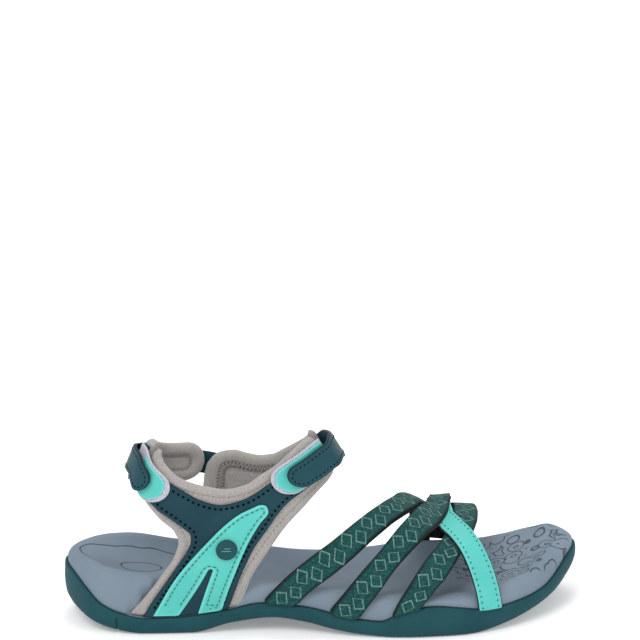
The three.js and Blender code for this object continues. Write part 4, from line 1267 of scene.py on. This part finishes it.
def strap_offset(strap):
    """Height of a strap over the form: lower at its sewn end than on its landing."""
    return lambda a, b: mix(STRAP_OFFSET_LOW, STRAP_OFFSET_TAB, ramp_share(a, strap["ramp"]))


def ramp_share(a, ramp):
    """Share of the rise at a, for a ramp that runs either way along the form."""
    return ease(a, *ramp) if ramp[1] > ramp[0] else 1 - ease(a, ramp[1], ramp[0])


def bend(made, strap, at, bodies):
    """Bakes the placement of a piece of strap into its mesh."""
    way = 1 if strap["free_end"] > strap["base_end"] else -1
    for reach in BEND_SPAN:
        u = at + way * reach
        (leg_point(u, strap["line"](u), 7.0) + FRAME_SHIFT) * MM
    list(bodies)
    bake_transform(made)


def make_ankle_strap(strap):
    """The strap in two lengths that meet on its rigid middle."""
    name = strap["name"]
    offset = strap_offset(strap)

    def seam_height(a, b):
        return offset(a, b) + STRAP_THICKNESS - 0.12

    lengths = (
        ("anchor_length", strap["base_end"], strap["join"], 0.0, strap["hinge"], strap["bodies"][:2],
         [f"{name}_base", f"{name}_middle"]),
        ("free_length", strap["join"], strap["free_end"], 6.0, strap["peel"], strap["bodies"][1:],
         [f"{name}_tab", f"{name}_middle"]),
    )
    for part, start, end, round_end, hinge, bodies, nodes in lengths:
        outline = band_outline(strap["line"], start, end, STRAP_HALF_WIDTH, round_end)
        made = flat_sheet(f"{name}_{part}", outline, leg_point, offset, STRAP_THICKNESS, LOOKS["strap"],
                          radius=0.55, spacing=1.1)
        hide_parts(*nodes)
        bend(made, strap, hinge, bodies)
        seam = off_the_join(seam_line(outline, 1.9), strap["join"], 2.2)
        sewn = stitch_row(f"{name}_{part}_stitches", seam, leg_point, seam_height, LOOKS["dark_thread"],
                          length=1.2, pitch=2.3, radius=0.32)
        bend(sewn, strap, hinge, bodies)


def make_fastening(strap):
    """Landing with its loop edging and turquoise face on the quarter, and the hook patch on the tab."""
    name = strap["name"].replace("_strap", "")
    line = strap["line"]
    base = band_outline(line, *strap["landing"], strap["landing_half"], 7.0)
    made = leg_sheet(f"{name}_landing_edging", base, "edging", "loop", radius=0.6)
    settle(made, "sandal", [f"{name}_landing_base"])
    face = band_outline(line, *strap["patch"], strap["patch_half"], 6.2)
    made = leg_sheet(f"{name}_landing_face", face, "face", "turquoise_strap", radius=0.4)
    settle(made, "sandal", [f"{name}_landing_patch"])
    hem = off_the_join(seam_line(base, 0.75), strap["landing"][0])
    sew(f"{name}_landing_stitches", hem, "edging", "pale_thread", length=1.0, pitch=1.5, radius=0.26)
    hooks = band_outline(line, *strap["hook"], STRAP_HALF_WIDTH - 1.2)
    made = leg_sheet(f"{name}_hook_pad", hooks, "hooks", "hook", radius=0.3)
    settle(made, strap["bodies"][2], [f"{name}_hook_patch"])


HEEL_PAD = {"from": -59, "to": 20, "half_width": 10, "round_over": 9, "cover_inset": 1.6}


def heel_pad_outline(inset_by):
    pad = HEEL_PAD
    return band_outline(heel_pad_line, pad["to"] - inset_by, pad["from"] + inset_by,
                        pad["half_width"] - inset_by, pad["round_over"])


def make_heel_pad():
    pad = HEEL_PAD
    outline = heel_pad_outline(0)
    make_pad("heel_pad_cushion", outline, "heel_pad")
    cover = heel_pad_outline(pad["cover_inset"])
    made = leg_sheet("heel_pad_back_cover", cover, "cover", "teal")
    settle(made, "sandal", ["heel_pad_cover"])
    seam = off_the_join(seam_line(cover, 1.8), pad["to"] - pad["cover_inset"])
    sew("heel_pad_cover_stitches", seam, "cover", "dark_thread")
    channel = off_the_join(seam_line(outline, PAD["channel_at"] - 0.8), pad["to"])
    sew_channel("heel_pad_channel", channel, 0.75)


# ------------------------------------------------------------------ forefoot straps
LAYER_STEP = 2.4
WEB_LINING = 0.8
WEB_GAP = 0.25
WEB_THICKNESS = 1.4
FOREFOOT = [
    {"name": "webbing_strap_rear", "lining": "webbing_lining_rear", "half_width": 5.1, "end": 180,
     "climb": (0, (20, 50)),
     "line": [
         (0, 106.6), (12, 116.7), (24, 127.2), (36, 137.1), (48, 146.1), (60, 154.8), (72, 162.7),
         (84, 169.4), (95, 174), (105, 178), (118, 181), (135, 182), (180, 182),
     ]},
    {"name": "webbing_strap_front", "lining": "webbing_lining_front", "half_width": 5.7, "end": 180,
     "climb": (0, (20, 50)),
     "line": [
         (0, 167.2), (12, 173.5), (24, 179), (36, 184), (48, 188.7), (60, 193), (70, 196.8), (84, 200),
         (100, 201.6), (115, 201.4), (140, 200.6), (180, 200.6),
     ]},
    {"name": "forefoot_strap", "lining": "forefoot_strap_lining", "half_width": 5.6, "end": 176,
     "climb": (1, (6, 34)),
     "line": [
         (0, 208.4), (12, 207.1), (24, 205.1), (36, 202.7), (48, 199.8), (60, 196), (72, 191.3),
         (84, 188.3), (95, 188.3), (110, 188.8), (130, 190.6), (150, 191), (180, 191),
     ]},
    {"name": "webbing_strap_middle", "lining": "webbing_lining_middle", "half_width": 5.1, "end": 162,
     "climb": (2, (25, 58)),
     "line": [
         (0, 137.2), (12, 144.9), (24, 152.6), (36, 160.6), (48, 168.4), (60, 175.2), (72, 180.8),
         (84, 185.6), (95, 188), (110, 190), (130, 191), (180, 191),
     ]},
]
EDGE_STEPS = (0.0, 0.08, 0.22, 0.45, 0.8, 1.6, 2.8, 4.2)
ARC_PER_DEGREE = 0.75


def ribbon(name, strap, bottom, thickness, widen, look, radius):
    """Strap over the forefoot with rounded edges; flat coordinates are millimetres along and across."""
    line = smooth_line(strap["line"])
    degrees = np.linspace(0, strap["end"], 241)
    slope = (line(degrees + 1) - line(degrees - 1)) / (2 * ARC_PER_DEGREE)
    half = strap["half_width"] + widen
    steps = np.array(EDGE_STEPS)
    across = np.concatenate([steps - half, [0.0], (half - steps)[::-1]])
    edge = half - np.abs(across)
    share = rounded(edge, radius)
    across_top = np.concatenate([across, across[-2:0:-1]])
    level = np.concatenate([0.5 + share / 2, (0.5 - share / 2)[-2:0:-1]])
    a = np.repeat(degrees[:, None], len(across_top), 1)
    x = line(degrees)[:, None] + across_top[None, :] * np.hypot(1, slope)[:, None]
    points = arch_point(a, x, bottom(a) + thickness * level[None, :])
    middle = arch_point(degrees, line(degrees), bottom(degrees))
    run_length = np.concatenate([[0], np.cumsum(np.linalg.norm(np.diff(middle, axis=0), axis=1))])
    along = np.gradient(middle, axis=0)
    lean = (along[:, 0] / np.linalg.norm(along, axis=1))[:, None]
    shift = across_top[None, :] * np.hypot(1, slope)[:, None]
    uv = np.stack([run_length[:, None] + shift * lean, shift * np.sqrt(1 - lean ** 2)], -1)
    rows, columns = a.shape
    faces = grid_faces(rows, columns)
    faces += [tuple(range(columns))[::-1], tuple((rows - 1) * columns + k for k in range(columns))]
    rim = np.repeat((half - np.abs(across_top))[None, :], rows, 0)
    made = make_object(name, points.reshape(-1, 3), faces, look, uv.reshape(-1, 2), rim.ravel())
    face_outward(made)
    return made


def strap_lift(strap):
    """Height of a strap over the form: it climbs one layer for each strap that it lies on."""
    layers, climb = strap["climb"]
    return lambda degrees: LAYER_STEP * layers * ease(degrees, *climb)


def make_forefoot_strap(strap):
    name = strap["name"]
    lift = strap_lift(strap)
    web = name.startswith("webbing")

    def base(degrees):
        return lift(degrees) + WEB_LINING + WEB_GAP / 2

    lining = ribbon(f"{name}_backing", strap, lift, WEB_LINING, 0.45, LOOKS["black"], 0.4)
    settle(lining, "sandal", [strap["lining"]])
    look = LOOKS["webbing"] if web else LOOKS["turquoise_strap"]
    made = ribbon(f"{name}_face", strap, base, WEB_THICKNESS, 0.0, look, 0.6)
    settle(made, "sandal", [name])
    if not web:
        sew_strap_edges(strap, base)


def sew_strap_edges(strap, base):
    """A stitch row along each edge of a coated forefoot strap whose face starts at base(degrees)."""
    def seam_height(degrees, _x):
        return base(degrees) + WEB_THICKNESS + 0.02

    line = smooth_line(strap["line"])
    degrees = np.linspace(1, strap["end"] - 2, 300)
    slope = (line(degrees + 1) - line(degrees - 1)) / (2 * ARC_PER_DEGREE)
    for side, label in ((-1, "rear"), (1, "front")):
        x = line(degrees) + side * (strap["half_width"] - 1.7) * np.hypot(1, slope)
        row = stitch_row(f"{strap['name']}_stitches_{label}", np.column_stack([degrees, x]), arch_point,
                         seam_height, LOOKS["teal_thread"], length=0.9, pitch=2.9, radius=0.36)
        settle(row, "sandal")


# ------------------------------------------------------------------ stage
FLOOR_HALF_SIZE = 4.0
FLOOR_GLOW = 0.22
WORLD_STRENGTH = 0.74
LAMPS = {                                # place, width of the disc and watts
    "key": ((-0.7, -1.1, 1.5), 0.9, 13),
    "fill": ((1.3, -0.9, 0.9), 1.1, 4),
    "top": ((0.1, 0.6, 1.6), 1.0, 7),
}
LAMP_AIM = (0, 0, 0.04)


def set_up_stage():
    size = FLOOR_HALF_SIZE
    mesh = bpy.data.meshes.new("floor")
    mesh.from_pydata([(-size, -size, 0), (size, -size, 0), (size, size, 0), (-size, size, 0)], [], [
        (0, 1, 2, 3),
    ])
    floor = bpy.data.objects.new("floor", mesh)
    bpy.context.scene.collection.objects.link(floor)
    pale = bpy.data.materials.new("floor_pale")
    pale.use_nodes = True
    shader = pale.node_tree.nodes["Principled BSDF"].inputs
    shader["Base Color"].default_value = (0.93, 0.93, 0.93, 1)
    shader["Roughness"].default_value = 0.95
    shader["Specular IOR Level"].default_value = 0.1
    shader["Emission Color"].default_value = (1, 1, 1, 1)
    shader["Emission Strength"].default_value = FLOOR_GLOW
    mesh.materials.append(pale)


def soft_light(name, place, size, watts):
    lamp = bpy.data.lights.new(name, "AREA")
    lamp.shape = "DISK"
    lamp.size = size
    lamp.energy = watts
    made = bpy.data.objects.new(name, lamp)
    made.location = place
    made.rotation_mode = "QUATERNION"
    made.rotation_quaternion = (Vector(LAMP_AIM) - Vector(place)).to_track_quat("-Z", "Y")
    bpy.context.scene.collection.objects.link(made)


def set_up_light():
    world = bpy.data.worlds.new("studio")
    world.use_nodes = True
    world.node_tree.nodes["Background"].inputs["Color"].default_value = (1.0, 1.0, 1.0, 1)
    world.node_tree.nodes["Background"].inputs["Strength"].default_value = WORLD_STRENGTH
    bpy.context.scene.world = world
    for name, lamp in LAMPS.items():
        soft_light(name, *lamp)
    bpy.context.scene.view_settings.view_transform = "Standard"


# ------------------------------------------------------------------ assembly
def build():
    make_outsole()
    make_footbed()
    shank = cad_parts["arch_shank"].data
    shank.materials.clear()
    shank.materials.append(LOOKS["shank"])
    make_quarter("lateral", LATERAL_LINING, LATERAL_COVER, False)
    make_quarter("medial", MEDIAL_LINING, MEDIAL_COVER, True)
    make_fork()
    make_badge()
    make_heel_pad()
    for strap in ANKLE_STRAPS:
        make_ankle_strap(strap)
        make_fastening(strap)
    for strap in FOREFOOT:
        make_forefoot_strap(strap)


build()
set_up_stage()
set_up_light()
